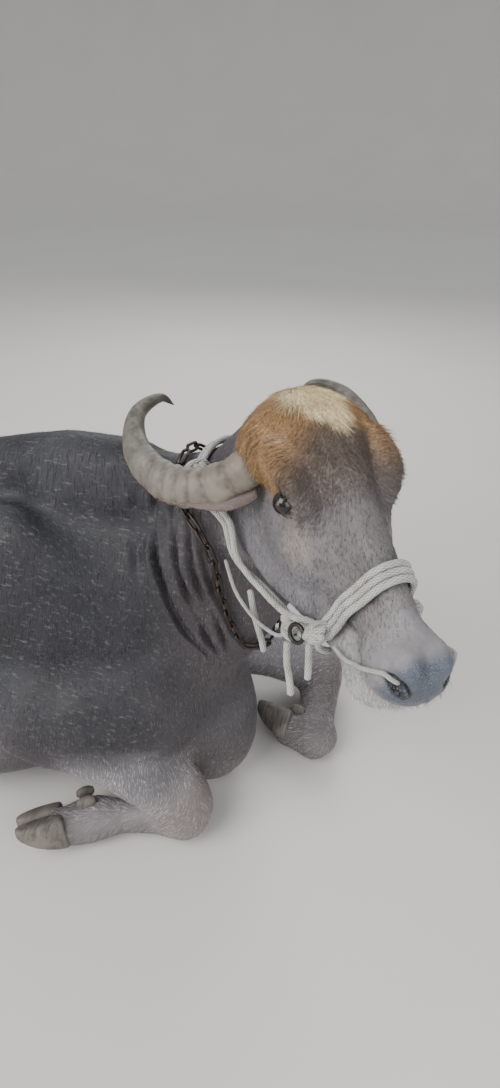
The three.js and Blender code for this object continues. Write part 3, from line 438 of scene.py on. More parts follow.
NOSTRIL = tube([(478, 57, -75, 5), (490, 50, -74, 10), (501, 45, -77, 13), (511, 37, -84, 10)])
NOSTRIL_WING = melted(
    tube([(474, 42, -57, 5), (490, 37, -54, 6), (501, 31, -61, 5)]),
    tube([(482, 56, -94, 5), (497, 47, -100, 6), (508, 35, -102, 5)]))
TEAR_GROOVE = tube([(209, 93, -46, 1), (224, 84, -60, 1), (250, 76, -82, 1), (280, 66, -100, 1)])
FACE_CREST = tube([(214, 80, -84, 2), (262, 68, -98, 2), (322, 50, -106, 2)])


def face(p):
    """The body's form with lids, nostrils, lips and folds worked into the head."""
    out = body(p)
    q = to_half_head(p)
    near = (q[:, 0] > -40) & (out < 40)
    if not near.any():
        return out
    q, f = q[near], out[near]

    away = eye_distance(q)
    f = melt(f, away - (EYE_RADIUS + 3.6), 7)
    at_eye = away < 75
    if at_eye.any():
        s, local = lid_distance(q[at_eye])
        g, r = f[at_eye], away[at_eye]
        ahead = local[:, 2] > 4
        rim = np.hypot(s, r - (EYE_RADIUS + 3.4)) - 1.9
        g = np.where(ahead, melt(g, rim, 2.4), g)
        pocket = np.maximum(s + 0.4, EYE_RADIUS - 2.5 - r)
        g = np.where(ahead, carve(g, pocket, 1.6), g)
        above = smoothstep(6, -6, local[:, 1])
        for share, width, wrinkles in (
            (above, 1.7, ((6.5, 1.7), (13, 1.3), (20, 1.0))),
            (1 - above, 1.6, ((5.5, 1.2), (10, 0.9), (16, 0.8))),
        ):
            for offset, depth in wrinkles:
                g += depth * share * bell(s - offset, width)
        f[at_eye] = g

    f += 2.2 * bell(TEAR_GROOVE(q), 6)
    f -= 2.0 * bell(FACE_CREST(q), 11)
    f = melt(f, NOSTRIL_WING(q), 9)

    x, y, z = q.T
    lip = lip_height(x)
    in_mouth = smoothstep(346, 366, x)
    f += in_mouth * 5.5 * bell(z - lip, 2.3)
    f -= in_mouth * 1.8 * bell(z - lip - 9, 6)
    f -= in_mouth * 2.2 * bell(z - lip + 9, 6)
    f += 2.0 * np.exp(-(((x - 350) / 7) ** 2 + ((z + 132) / 22) ** 2))
    f += 2.4 * smoothstep(480, 500, x) * bell(y, 3) * smoothstep(-80, -100, z)
    out[near] = f
    return out


# Folds of neck and skin: a path in the body's frame, then depth and width
NECK_FOLDS = [
    ([(150, -40, 905), (150, -76, 853), (150, -98, 778), (183, -128, 689), (218, -120, 585),
      (262, -106, 518)], 17, 6.5),
    ([(182, -50, 910), (186, -78, 866), (199, -108, 786), (228, -117, 679), (258, -104, 571),
      (286, -98, 520)], 17, 6.5),
    ([(222, -56, 905), (226, -86, 873), (233, -112, 796), (254, -114, 695), (290, -97, 577),
      (306, -92, 520)], 14, 6),
    ([(249, -94, 876), (260, -115, 804), (282, -106, 684), (312, -94, 593)], 9, 6),
    ([(104, -50, 880), (108, -90, 800), (128, -122, 700), (150, -140, 600)], 6, 10),
    ([(190, 96, 800), (214, 112, 690), (236, 104, 560)], 6, 9),
    ([(160, 88, 820), (176, 118, 700), (200, 116, 570)], 6, 9),
]
SKIN_CREASES = [
    ([(-75, -270, 367), (26, -276, 363), (117, -268, 352), (180, -236, 338)], 7, 16),
    ([(-20, -300, 232), (60, -292, 214), (130, -272, 192)], 4, 10),
    ([(-90, 285, 330), (40, 300, 330), (150, 268, 340)], 6, 16),
    ([(-560, -330, 420), (-520, -366, 300), (-500, -372, 180)], 7, 22),
    ([(-560, 330, 420), (-520, 366, 300), (-500, 372, 180)], 7, 22),
    ([(120, -150, 210), (190, -118, 190), (250, -60, 180)], 5, 12),
]


def fold_field(points, width):
    """A fold's path as a field that fades out at both ends."""
    ends = (0, len(points) - 1)
    return tube([(*p, -0.9 * width if i in ends else 0) for i, p in enumerate(points)])


FOLD_FIELDS = [(fold_field(points, width), depth, width)
               for points, depth, width in NECK_FOLDS + SKIN_CREASES]


def lumps(points, size, seed, waves=14):
    """Smooth unevenness between -1 and 1, with lumps of about the given size."""
    draw = np.random.default_rng(seed)
    total = np.zeros(len(points))
    for _ in range(waves):
        direction = unit(draw.normal(size=3)) * 2 * math.pi / (size * draw.uniform(1.4, 3.2))
        total += np.sin(points @ direction + draw.uniform(0, 2 * math.pi))
    return total / math.sqrt(waves)


# Meshes

def net(field, low, high, cell, block=4):
    """Quads over the field's surface, one point for each crossed cell."""
    low = np.array(low, float)
    blocks = np.ceil((np.array(high) - low) / (cell * block)).astype(int)
    size = blocks * block
    corner = np.stack(np.meshgrid(*map(np.arange, blocks), indexing="ij"), -1).reshape(-1, 3)
    span = cell * block
    middle = field(low + (corner + 0.5) * span - cell / 2)
    values = np.repeat(np.repeat(np.repeat(
        middle.reshape(blocks), block, axis=0), block, axis=1), block, axis=2)
    inner = np.stack(np.meshgrid(*[np.arange(block)] * 3, indexing="ij"), -1).reshape(-1, 3)
    close = corner[np.abs(middle) < span * 1.25]
    for part in np.array_split(close, max(1, len(close) // 3000)):
        cells = (part[:, None] * block + inner[None]).reshape(-1, 3)
        values[tuple(cells.T)] = field(low + cells * cell)
    values[[0, -1]] = values[:, [0, -1]] = values[:, :, [0, -1]] = cell

    inside = values < 0
    corners = [(a, b, c) for a in (0, 1) for b in (0, 1) for c in (0, 1)]
    count = sum(
        inside[tuple(slice(o, n - 1 + o) for o, n in zip(at, size))].astype(np.int8)
        for at in corners)
    mixed = np.argwhere((count > 0) & (count < 8))
    number = np.full(size - 1, -1, np.int64)
    number[tuple(mixed.T)] = np.arange(len(mixed))
    total, hits = np.zeros((len(mixed), 3)), np.zeros(len(mixed))
    for at in corners:
        for axis in range(3):
            if at[axis]:
                continue
            to = np.array(at) + np.eye(3, dtype=int)[axis]
            va = values[tuple((mixed + at).T)]
            vb = values[tuple((mixed + to).T)]
            crossed = (va < 0) != (vb < 0)
            share = np.where(crossed, va / np.where(va == vb, 1, va - vb), 0)
            place = mixed + at + share[:, None] * np.eye(3)[axis]
            total += place * crossed[:, None]
            hits += crossed
    points = low + total / hits[:, None] * cell

    quads = []
    for axis in range(3):
        u, v = np.eye(3, dtype=int)[(axis + 1) % 3], np.eye(3, dtype=int)[(axis + 2) % 3]
        ahead = np.roll(inside, -1, axis=axis)
        edges = np.argwhere(inside != ahead)
        edges = edges[(edges[:, axis] < size[axis] - 1) & (edges @ u > 0) & (edges @ v > 0)]
        starts = inside[tuple(edges.T)]
        ring = np.stack([number[tuple((edges - s * u - t * v).T)]
                         for s, t in ((0, 0), (1, 0), (1, 1), (0, 1))], 1)
        ring[~starts] = ring[~starts][:, ::-1]
        quads.append(ring)
    return settle(field, points, 0, 2, cell), np.vstack(quads)


def make_piece(name, points, faces, finish, replaces=()):
    """A mesh object at the origin from points in millimetres, riding on the body."""
    mesh = bpy.data.meshes.new(name)
    mesh.from_pydata((np.asarray(points) * MM).tolist(), [], [list(map(int, f)) for f in faces])
    mesh.validate()
    return dress(mesh, name, finish, replaces)


def dress(mesh, name, finish, replaces=()):
    """Gives a mesh its material and sets it in the scene as one piece."""
    mesh.name = name
    mesh.materials.clear()
    mesh.materials.append(finish)
    mesh.polygons.foreach_set("use_smooth", [True] * len(mesh.polygons))
    mesh.update()
    piece = bpy.data.objects.new(name, mesh)
    bpy.context.scene.collection.objects.link(piece)
    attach(piece, "root")
    if replaces:
        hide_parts(*replaces)
    return piece


def mesh_points(mesh):
    flat = np.empty(len(mesh.vertices) * 3, np.float32)
    mesh.vertices.foreach_get("co", flat)
    return flat.reshape(-1, 3).astype(float) * 1000


def move_points(mesh, points):
    mesh.vertices.foreach_set("co", (points * MM).astype(np.float32).ravel())
    mesh.update()


def paint_points(mesh, name, colours):
    colours = np.column_stack([colours, np.ones(len(colours))]).astype(np.float32)
    layer = mesh.attributes.new(name, "FLOAT_COLOR", "POINT")
    layer.data.foreach_set("color", colours.ravel())


def weigh_points(mesh, name, values):
    layer = mesh.attributes.new(name, "FLOAT", "POINT")
    layer.data.foreach_set("value", np.asarray(values, np.float32))


def rings_to_faces(rings, count, closed=False):
    """Quads between rings of points, and from the last to the first if closed."""
    faces = []
    last = rings if closed else rings - 1
    for r in range(last):
        a, b = r * count, ((r + 1) % rings) * count
        for s in range(count):
            t = (s + 1) % count
            faces.append((a + s, a + t, b + t, b + s))
    return faces


def close_ends(points, faces, count):
    """Adds a middle point and a fan to the first and the last ring."""
    points = [np.asarray(points)]
    total = len(points[0])
    for base, order in ((0, 1), (total - count, -1)):
        ring = points[0][base:base + count]
        points.append(ring.mean(0)[None])
        centre = total + (0 if order == 1 else 1)
        for s in range(count):
            t = (s + 1) % count
            faces.append((centre, base + t, base + s)[::order])
    return np.vstack(points), faces


def path_frames(path, up=(0, 0, 1), closed=False):
    """Side and rise directions along a path, turning as little as they can."""
    if closed:
        forward = unit(np.roll(path, -1, axis=0) - np.roll(path, 1, axis=0))
    else:
        forward = unit(np.gradient(path, axis=0))
    side = unit(np.cross(up, forward[0]))
    sides = []
    for f in forward:
        side = unit(side - f * (side @ f))
        sides.append(side)
    sides = np.array(sides)
    return sides, np.cross(forward, sides)


def loft(path, shape, count, up=(0, 0, 1)):
    """Rings across a path, each shaped by its share of the length and the angle round it."""
    sides, rises = path_frames(path, up)
    angles = np.arange(count) * 2 * math.pi / count
    rings = []
    for i, centre in enumerate(path):
        a, b = shape(i / (len(path) - 1), angles)
        rings.append(centre + a[:, None] * sides[i] + b[:, None] * rises[i])
    faces = rings_to_faces(len(path), count)
    return close_ends(np.vstack(rings), faces, count)


def joined(parts):
    """Several pairs of points and faces as one."""
    points, faces, start = [], [], 0
    for p, f in parts:
        points.append(p)
        faces.extend([tuple(i + start for i in face) for face in f])
        start += len(p)
    return np.vstack(points), faces


# Materials

def linear(colour):
    return tuple((c / 12.92 if c <= 0.04045 else ((c + 0.055) / 1.055) ** 2.4) for c in colour[:3])


class Recipe:
    """Builds one procedural material, node by node."""

    def __init__(self, name, roughness=0.6, specular=0.5, **sockets):
        self.material = bpy.data.materials.new(name)
        self.material.use_nodes = True
        self.tree = self.material.node_tree
        self.shader = self.tree.nodes["Principled BSDF"]
        self.shader.inputs["Roughness"].default_value = roughness
        self.shader.inputs["Specular IOR Level"].default_value = specular
        for socket, value in sockets.items():
            self.shader.inputs[socket.replace("_", " ")].default_value = value
        self.place = self.tree.nodes.new("ShaderNodeTexCoord").outputs["Object"]

    def node(self, kind, **values):
        node = self.tree.nodes.new(kind)
        for key, value in values.items():
            setattr(node, key, value)
        return node

    def plug(self, socket, value):
        if isinstance(value, bpy.types.NodeSocket):
            self.tree.links.new(value, socket)
        else:
            socket.default_value = value

    def stretched(self, scale, turn=(0, 0, 0)):
        node = self.node("ShaderNodeMapping")
        self.plug(node.inputs["Vector"], self.place)
        node.inputs["Scale"].default_value = scale
        node.inputs["Rotation"].default_value = turn
        return node.outputs["Vector"]

    def noise(self, scale, detail=4, rough=0.55, place=None):
        node = self.node("ShaderNodeTexNoise")
        self.plug(node.inputs["Vector"], place or self.place)
        node.inputs["Scale"].default_value = scale
        node.inputs["Detail"].default_value = detail
        node.inputs["Roughness"].default_value = rough
        return node.outputs["Fac"]

    def cells(self, scale, place=None):
        node = self.node("ShaderNodeTexVoronoi", feature="DISTANCE_TO_EDGE")
        self.plug(node.inputs["Vector"], place or self.place)
        node.inputs["Scale"].default_value = scale
        return node.outputs["Distance"]

    def ramp(self, value, stops):
        """A colour band whose stops are a place and a colour or a grey."""
        node = self.node("ShaderNodeValToRGB")
        self.plug(node.inputs["Fac"], value)
        band = node.color_ramp
        while len(band.elements) < len(stops):
            band.elements.new(0.5)
        for element, (at, colour) in zip(band.elements, stops):
            grey = isinstance(colour, (int, float))
            element.position = at
            element.color = (*((colour,) * 3 if grey else colour), 1)
        return node.outputs["Color"]

    def fit(self, value, low, high, to_low=0.0, to_high=1.0):
        node = self.node("ShaderNodeMapRange")
        for socket, v in zip(node.inputs, (value, low, high, to_low, to_high)):
            self.plug(socket, v)
        return node.outputs["Result"]

    def sum(self, a, b, kind="ADD"):
        node = self.node("ShaderNodeMath", operation=kind)
        self.plug(node.inputs[0], a)
        self.plug(node.inputs[1], b)
        return node.outputs[0]

    def mix(self, share, a, b, kind="MIX"):
        node = self.node("ShaderNodeMix", data_type="RGBA", blend_type=kind)
        self.plug(node.inputs["Factor"], share)
        for socket, value in ((node.inputs[6], a), (node.inputs[7], b)):
            self.plug(socket, value if isinstance(value, bpy.types.NodeSocket) else (*value, 1))
        return node.outputs[2]

    def attribute(self, name, output="Fac"):
        return self.node("ShaderNodeAttribute", attribute_name=name).outputs[output]

    def colour(self, value):
        self.plug(self.shader.inputs["Base Color"],
                  value if isinstance(value, bpy.types.NodeSocket) else (*value, 1))

    def roughness(self, value):
        self.plug(self.shader.inputs["Roughness"], value)

    def bump(self, height, strength, distance):
        node = self.node("ShaderNodeBump")
        node.inputs["Strength"].default_value = strength
        node.inputs["Distance"].default_value = distance
        self.plug(node.inputs["Height"], height)
        before = self.shader.inputs["Normal"]
        if before.is_linked:
            self.plug(node.inputs["Normal"], before.links[0].from_socket)
        self.plug(before, node.outputs["Normal"])


def hide_finish():
    """Thick grey skin: painted markings, crazed wrinkles, pores and lying hair."""
    r = Recipe("buffalo_hide", roughness=0.6, specular=0.45)
    base = r.attribute("hide_colour", "Color")
    blotch = r.fit(r.noise(6, 5, 0.6), 0.3, 0.7, 0.72, 1.26)
    fleck = r.fit(r.noise(110, 4, 0.7), 0.3, 0.7, 0.88, 1.12)
    shade = r.sum(blotch, fleck, "MULTIPLY")
    colour = r.mix(1.0, base, r.ramp(r.fit(shade, 0, 2), [(0, 0.0), (1, 1.0)]), "MULTIPLY")
    hair = r.noise(1, 3, 0.7, r.stretched((34, 240, 150), (0.1, 0.5, 0.25)))
    streak = r.fit(hair, 0.56, 0.72, 0.0, 0.5)
    hairy = r.attribute("hairy")
    lit = r.mix(1.0, colour, (2.0, 2.0, 2.0), "MULTIPLY")
    colour = r.mix(r.sum(streak, hairy, "MULTIPLY"), lit, linear((0.44, 0.42, 0.41)))
    wet = r.attribute("wet")
    r.colour(colour)
    r.roughness(r.fit(r.sum(wet, r.fit(r.noise(30), 0.3, 0.7, -0.12, 0.12)), 0, 1, 0.62, 0.26))
    crazed = r.fit(r.cells(70, r.stretched((1, 1.3, 0.8))), 0.0, 0.25, 0.0, 1.0)
    r.bump(crazed, 0.15, 0.0012)
    r.bump(r.noise(260, 5, 0.7), 0.3, 0.0008)
    r.bump(hair, 0.2, 0.0008)
    pebble = r.sum(r.fit(r.cells(210), 0.0, 0.3, 0.0, 1.0), wet, "MULTIPLY")
    r.bump(pebble, 0.6, 0.0012)
    return r.material


def hair_finish(name):
    r = Recipe(name, roughness=0.5, specular=0.35)
    base = r.attribute("hide_colour", "Color")
    tone = r.fit(r.noise(220, 3, 0.6), 0.3, 0.7, 0.3, 0.75)
    r.colour(r.mix(1.0, base, r.ramp(tone, [(0, 0.0), (1, 2.0)]), "MULTIPLY"))
    r.bump(r.noise(900, 2), 0.3, 0.0004)
    return r.material


def horn_finish(root, tip):
    """Grey-tan horn with dark rings near the root and fine lengthways grain."""
    r = Recipe("buffalo_horn", roughness=0.5, specular=0.4)
    along = r.attribute("along")
    ring = r.attribute("ring")
    grain = r.noise(60, 6, 0.65)
    colour = r.ramp(r.sum(along, r.fit(grain, 0.3, 0.7, -0.06, 0.06)), [
        (0.0, linear((0.40, 0.34, 0.28))), (0.12, root), (0.6, tip),
        (0.9, linear((0.40, 0.38, 0.35))), (1.0, linear((0.30, 0.28, 0.265)))])
    mottle = r.fit(r.noise(26, 5, 0.7), 0.35, 0.65, 0.72, 1.12)
    colour = r.mix(1.0, colour, r.ramp(r.fit(mottle, 0, 2), [(0, 0.0), (1, 2.0)]), "MULTIPLY")
    dirt = r.sum(r.fit(ring, 0.55, 0.0), r.fit(grain, 0.4, 0.62), "MULTIPLY")
    r.colour(r.mix(r.sum(dirt, 0.55, "MULTIPLY"), colour, linear((0.20, 0.16, 0.13))))
    r.roughness(r.fit(grain, 0.3, 0.7, 0.42, 0.62))
    r.bump(r.noise(140, 5, 0.7), 0.4, 0.0012)
    r.bump(r.noise(1, 4, 0.7, r.stretched((160, 160, 160))), 0.25, 0.0008)
    return r.material


def hoof_finish():
    r = Recipe("hoof_horn", roughness=0.62, specular=0.35)
    band = r.noise(1, 4, 0.6, r.stretched((180, 20, 20), (0, 0.2, 0.4)))
    colour = r.ramp(band, [(0.3, linear((0.22, 0.205, 0.195))), (0.7, linear((0.42, 0.40, 0.38)))])
    dust = r.fit(r.noise(22, 5, 0.7), 0.42, 0.66)
    r.colour(r.mix(dust, colour, linear((0.46, 0.43, 0.40))))
    r.bump(band, 0.5, 0.0015)
    r.bump(r.noise(300, 4), 0.3, 0.0008)
    return r.material


def eye_finish():
    """A wet dark eye: brown iris with a long level pupil, under a clear coat."""
    r = Recipe("wet_eye", roughness=0.2, specular=0.4, Coat_Weight=0.35, Coat_Roughness=0.06)
    spread = r.attribute("iris")
    pupil = r.attribute("pupil")
    rays = r.fit(r.noise(420, 5, 0.7), 0.3, 0.7, -0.12, 0.12)
    colour = r.ramp(r.sum(spread, rays), [
        (0.0, linear((0.11, 0.07, 0.05))), (0.5, linear((0.09, 0.06, 0.05))),
        (0.66, linear((0.045, 0.035, 0.03))), (0.85, linear((0.14, 0.10, 0.09))),
        (1.0, linear((0.30, 0.25, 0.24)))])
    r.colour(r.mix(pupil, colour, linear((0.02, 0.02, 0.025))))
    return r.material


def cotton_finish(name, tint):
    """Braided cotton: strands that cross over both ways, soiled in patches, with painted shade
    between them.
    """
    r = Recipe(name, roughness=0.9, specular=0.2, Sheen_Weight=0.3)
    split = r.node("ShaderNodeSeparateXYZ")
    r.plug(split.inputs[0], r.attribute("braid", "Vector"))
    angle = r.sum(r.sum(split.outputs[1], split.outputs[0], "ARCTAN2"), 4.0, "MULTIPLY")
    along = r.sum(split.outputs[2], 1.7, "MULTIPLY")
    plaits = [r.sum(r.sum(r.sum(angle, along, kind), 0.0, "SINE"), 0.0, "ABSOLUTE")
              for kind in ("ADD", "SUBTRACT")]
    plait = r.sum(*plaits, "MULTIPLY")
    soil = r.fit(r.noise(38, 5, 0.7), 0.34, 0.66)
    colour = r.mix(r.sum(soil, 0.7, "MULTIPLY"), tint, linear((0.56, 0.54, 0.50)))
    # Painted shade in the hollows between the strands
    colour = r.mix(r.fit(plait, 0.45, 0.0, 0.0, 0.75), colour, linear((0.34, 0.31, 0.28)))
    r.colour(colour)
    r.bump(plait, 0.7, 0.0015)
    r.bump(r.noise(1300, 3, 0.7), 0.5, 0.0006)
    return r.material


def steel_finish():
    r = Recipe("dark_steel", roughness=0.5, specular=0.5, Metallic=0.85)
    rust = r.fit(r.noise(70, 6, 0.7), 0.5, 0.68)
    r.colour(r.mix(rust, linear((0.23, 0.22, 0.21)), linear((0.30, 0.20, 0.14))))
    r.roughness(r.fit(rust, 0, 1, 0.38, 0.8))
    r.bump(r.noise(500, 4), 0.3, 0.0005)
    return r.material


def floor_finish(colour):
    r = Recipe("studio_floor", roughness=0.9, specular=0.1)
    darker = [c * 0.985 for c in colour]
    r.colour(r.mix(r.fit(r.noise(1.5, 3), 0.3, 0.7), linear(colour), linear(darker)))
    return r.material


FINISHES = {}


def finish(name, maker, *values):
    """A material or node tree that is made once and then shared."""
    if name not in FINISHES:
        FINISHES[name] = maker(*values)
    return FINISHES[name]


# Skin

def head_share(points):
    """1 on the head, 0 on the body."""
    return smoothstep(46, 4, HEAD_FORM(to_head(points)))


def refine(mesh, choose):
    """Cuts the chosen faces in four."""
    bm = bmesh.new()
    bm.from_mesh(mesh)
    centres = np.array([f.calc_center_median()[:] for f in bm.faces]) * 1000
    chosen = choose(centres)
    edges = {e for f, pick in zip(bm.faces, chosen) if pick for e in f.edges}
    bmesh.ops.subdivide_edges(bm, edges=list(edges), cuts=1, use_grid_fill=True)
    bm.to_mesh(mesh)
    bm.free()


def near_features(points):
    q = to_half_head(points)
    x, _, z = q.T
    at_eye = eye_distance(q) < 46
    at_nose = NOSTRIL(q) < 17
    at_mouth = (x > 346) & (np.abs(z - MOUTH_HEIGHT) < 13)
    return (at_eye | at_nose | at_mouth) & (HEAD_FORM(q) < 40)


def near_openings(points):
    q = to_half_head(points)
    return (eye_distance(q) < 36) | (NOSTRIL(q) < 11)


def near_folds(points, reach):
    folds = FOLD_FIELDS[:len(NECK_FOLDS)]
    nearest = np.min([field(points) / width for field, _, width in folds], 0)
    return (nearest < reach) & (head_share(points) < 0.1)


def skin_mesh(cell, depth):
    """The one skin, finest round eyes, nostrils, mouth and neck folds, with its points."""
    points, quads = net(lambda p: body(p) + depth, SKIN_LOW, SKIN_HIGH, cell)
    mesh = bpy.data.meshes.new("skin")
    mesh.from_pydata((points * MM).tolist(), [], quads.tolist())
    refine(mesh, lambda c: HEAD_FORM(to_head(c)) < 18)
    refine(mesh, near_features)
    refine(mesh, near_openings)
    refine(mesh, lambda c: near_folds(c, 2.6))
    refine(mesh, lambda c: near_folds(c, 1.7))

    points = mesh_points(mesh)
    on_head = HEAD_FORM(to_head(points)) < 60
    points[on_head] = settle(lambda p: face(p) + depth, points[on_head], 0, 4, 22)
    _, slope = slope_of(body, points)
    normal = unit(slope)
    shift = 2.2 * lumps(points, 110, 3) + 0.9 * lumps(points, 42, 4)
    shift *= 1 - 0.8 * head_share(points)
    shift -= 0.8 + 0.35 * head_share(points) * np.abs(lumps(points, 16, 5))
    for field, fold_depth, width in FOLD_FIELDS:
        away = np.maximum(field(points), 0)
        waver = 1 + 0.25 * lumps(points, 60, 6)
        shift -= fold_depth * waver * bell(away, width)
        shift += 0.35 * fold_depth * bell(away - 2.1 * width, width)
    folded = to_half_head(points)
    shift *= smoothstep(26, 60, eye_distance(folded))
    shift -= 10 * smoothstep(1, -8, NOSTRIL(folded)) * head_share(points)
    points += normal * shift[:, None]
    points[:, 2] = np.maximum(points[:, 2], 0.4)
    move_points(mesh, points)
    return mesh, points, normal


def crown_share(x, y, z, uneven):
    """1 where the long hair between the horns grows, fading out down the forehead."""
    reach = x + 14 * uneven - 0.5 * np.clip(np.abs(y) - 30, 0, 60)
    return smoothstep(122, 60, reach) * smoothstep(-96, -56, z) * smoothstep(-130, -60, x)


def hide_colours(points, normal):
    """The markings of skin and coat alike, from where a point lies on the animal."""
    p = points
    colour = np.tile(linear((0.118, 0.118, 0.135)), (len(p), 1))

    def lay(share, paint):
        nonlocal colour
        colour = colour + np.clip(share, 0, 1)[:, None] * (np.array(linear(paint)) - colour)

    def lay_round(centres, strength, far, near, paint):
        for centre in centres:
            away = np.linalg.norm(p - centre, axis=1) + 18 * uneven
            lay(strength * smoothstep(far, near, away), paint)

    # Body: grey base, paler low down, painted shade on surfaces facing down, painted light from the
    # sky on surfaces facing up, bare knees and forearms
    uneven = lumps(p, 90, 21)
    lay(0.75 * smoothstep(520, 160, p[:, 2] + 50 * uneven), (0.31, 0.295, 0.305))
    # Painted shade: surfaces facing down turn a darker, brownish grey
    lay(0.6 * smoothstep(0.1, -0.7, normal[:, 2]), (0.22, 0.185, 0.20))
    # Painted light from the sky: surfaces facing up turn a lighter, bluer grey in patches
    lay(0.5 * smoothstep(0.6, 0.95, normal[:, 2]) * smoothstep(-0.4, 0.8, uneven),
        (0.23, 0.235, 0.255))
    neck = smoothstep(120, 260, p[:, 0]) * smoothstep(330, 480, p[:, 2])
    lay(0.6 * neck, (0.27, 0.25, 0.26))
    lay_round(((225, -215, 110), (420, 370, 100), (-1010, -400, 110), (-1010, 400, 110)),
              0.6, 150, 30, (0.51, 0.46, 0.44))
    lay(0.5 * smoothstep(190, 60, p[:, 2]), (0.47, 0.45, 0.445))
    lay_round(((95, -250, 215), (300, 345, 160)), 0.75, 190, 60, (0.48, 0.47, 0.48))

    # Face and muzzle
    q = to_head(p)
    folded = to_half_head(p)
    x, side_y, z = folded.T
    head = head_share(p)
    lay(0.95 * head, (0.43, 0.412, 0.41))
    lay(head * 0.6 * smoothstep(20, 70, side_y) * smoothstep(-60, -120, z), (0.44, 0.43, 0.45))
    mottle = lumps(q, 34, 26)
    lay(head * 0.5 * smoothstep(0.5, 1.4, mottle) * smoothstep(190, 240, x), (0.34, 0.335, 0.355))
    spot = np.linalg.norm((q - (235, 0, -92)) * (1, 0, 1), axis=1)
    lay(head * 0.35 * smoothstep(50, 10, spot) * smoothstep(40, 70, side_y), (0.60, 0.54, 0.48))
    lay(head * 0.5 * smoothstep(330, 350, x) * smoothstep(385, 365, x) * smoothstep(-70, -40, z),
        (0.33, 0.335, 0.36))
    lay(head * 0.7 * smoothstep(375, 440, x), (0.50, 0.49, 0.495))
    lay(head * 0.9 * smoothstep(470, 494, x) * smoothstep(-118, -100, z), (0.285, 0.315, 0.37))
    lay(head * 0.7 * smoothstep(MOUTH_HEIGHT + 4, MOUTH_HEIGHT - 14, z) * smoothstep(330, 400, x),
        (0.63, 0.62, 0.61))
    lay(head * 0.6 * smoothstep(200, 250, x) * smoothstep(400, 350, x) * smoothstep(-80, -40, z),
        (0.36, 0.347, 0.345))

    # Brown forehead, rusty crown and the cream patch
    streaks = 0.5 + 0.5 * lumps(q * (0.25, 1, 1), 9, 25)
    lay(head * smoothstep(250, 150, x) * smoothstep(-90, -50, z), (0.40, 0.355, 0.32))
    rust = smoothstep(48, 84, side_y + 8 * uneven) * smoothstep(205, 120, x)
    rust *= smoothstep(24, 46, eye_distance(folded))
    lay(head * 0.8 * rust * smoothstep(-110, -60, z), (0.60, 0.475, 0.35))
    crown_near = np.maximum(head, smoothstep(90, 30, np.linalg.norm(q - (10, 0, 0), axis=1)))
    lay(crown_share(x, q[:, 1], z, uneven) * crown_near * 0.95, (0.63, 0.495, 0.345))
    lay(head * 0.35 * streaks * smoothstep(250, 150, x) * smoothstep(-90, -50, z),
        (0.24, 0.20, 0.17))
    reach = 6 + 40 * smoothstep(128, 30, x)
    ragged = np.abs(q[:, 1] - 12 + 5 * streaks) / reach + 0.18 * lumps(q * (0.3, 1, 1), 12, 22)
    patch = smoothstep(1.15, 0.7, ragged) * smoothstep(128, 104, x + 10 * streaks)
    lay(patch * smoothstep(-30, 0, z) * smoothstep(-40, 0, x), (0.83, 0.77, 0.62))

    # Lids, nostrils, mouth and folds, with painted shade on the upper lid's edge, in the eye's
    # pocket, in the nostrils, along the mouth line and in the folds
    close = eye_distance(folded) < 60
    if close.any():
        s, local = lid_distance(folded[close])
        for value, paint in (
            # painted shade along the upper lid's edge
            (0.8 * smoothstep(5, 0, s) * smoothstep(-1, -6, local[:, 1]), (0.12, 0.10, 0.10)),
            (0.85 * smoothstep(5, 0.5, s) * smoothstep(-4, 0, local[:, 1]), (0.62, 0.59, 0.66)),
            # painted shade in the pocket between the lids and the eyeball
            (smoothstep(-0.5, -2, s), (0.12, 0.08, 0.08)),
        ):
            share = np.zeros(len(p))
            share[close] = value
            lay(share, paint)
    # Painted shade: the nostrils near black inside
    lay(head * smoothstep(4, -1, NOSTRIL(folded)), (0.05, 0.042, 0.05))
    # Painted shade in the crease between the lips
    lay(head * smoothstep(350, 372, x) * bell(z - lip_height(x), 2.6) * 0.85, (0.13, 0.11, 0.115))
    # Painted shade in the neck folds and skin creases, darker where they are deeper
    for field, depth, width in FOLD_FIELDS:
        lay(0.05 * depth * bell(np.maximum(field(p), 0), 0.8 * width), (0.11, 0.10, 0.11))
    return np.clip(colour, 0, 1)


def bake_places(points):
    """Where each point falls on one flat unwrap of the skin: trunk, head and limbs apart."""
    q = to_head(points)
    head = HEAD_FORM(q) < 30
    x, y, z = points.T
    round_trunk = (np.arctan2(y, z - 400) / (2 * math.pi)) % 1
    place = np.column_stack([0.02 + 0.56 * (x + 1420) / 2200, 0.02 + 0.96 * round_trunk])
    round_head = (np.arctan2(q[:, 1], q[:, 2] + 90) / (2 * math.pi)) % 1
    place[head] = np.column_stack([
        0.62 + 0.36 * np.clip((q[:, 0] + 90) / 620, 0, 1), 0.02 + 0.46 * round_head])[head]
    limb = (z < 150) & ~head
    place[limb] = np.column_stack([
        0.62 + 0.36 * (x + 1420) / 2200, 0.52 + 0.46 * (y + 560) / 1120])[limb]
    return place


# Copies set on points

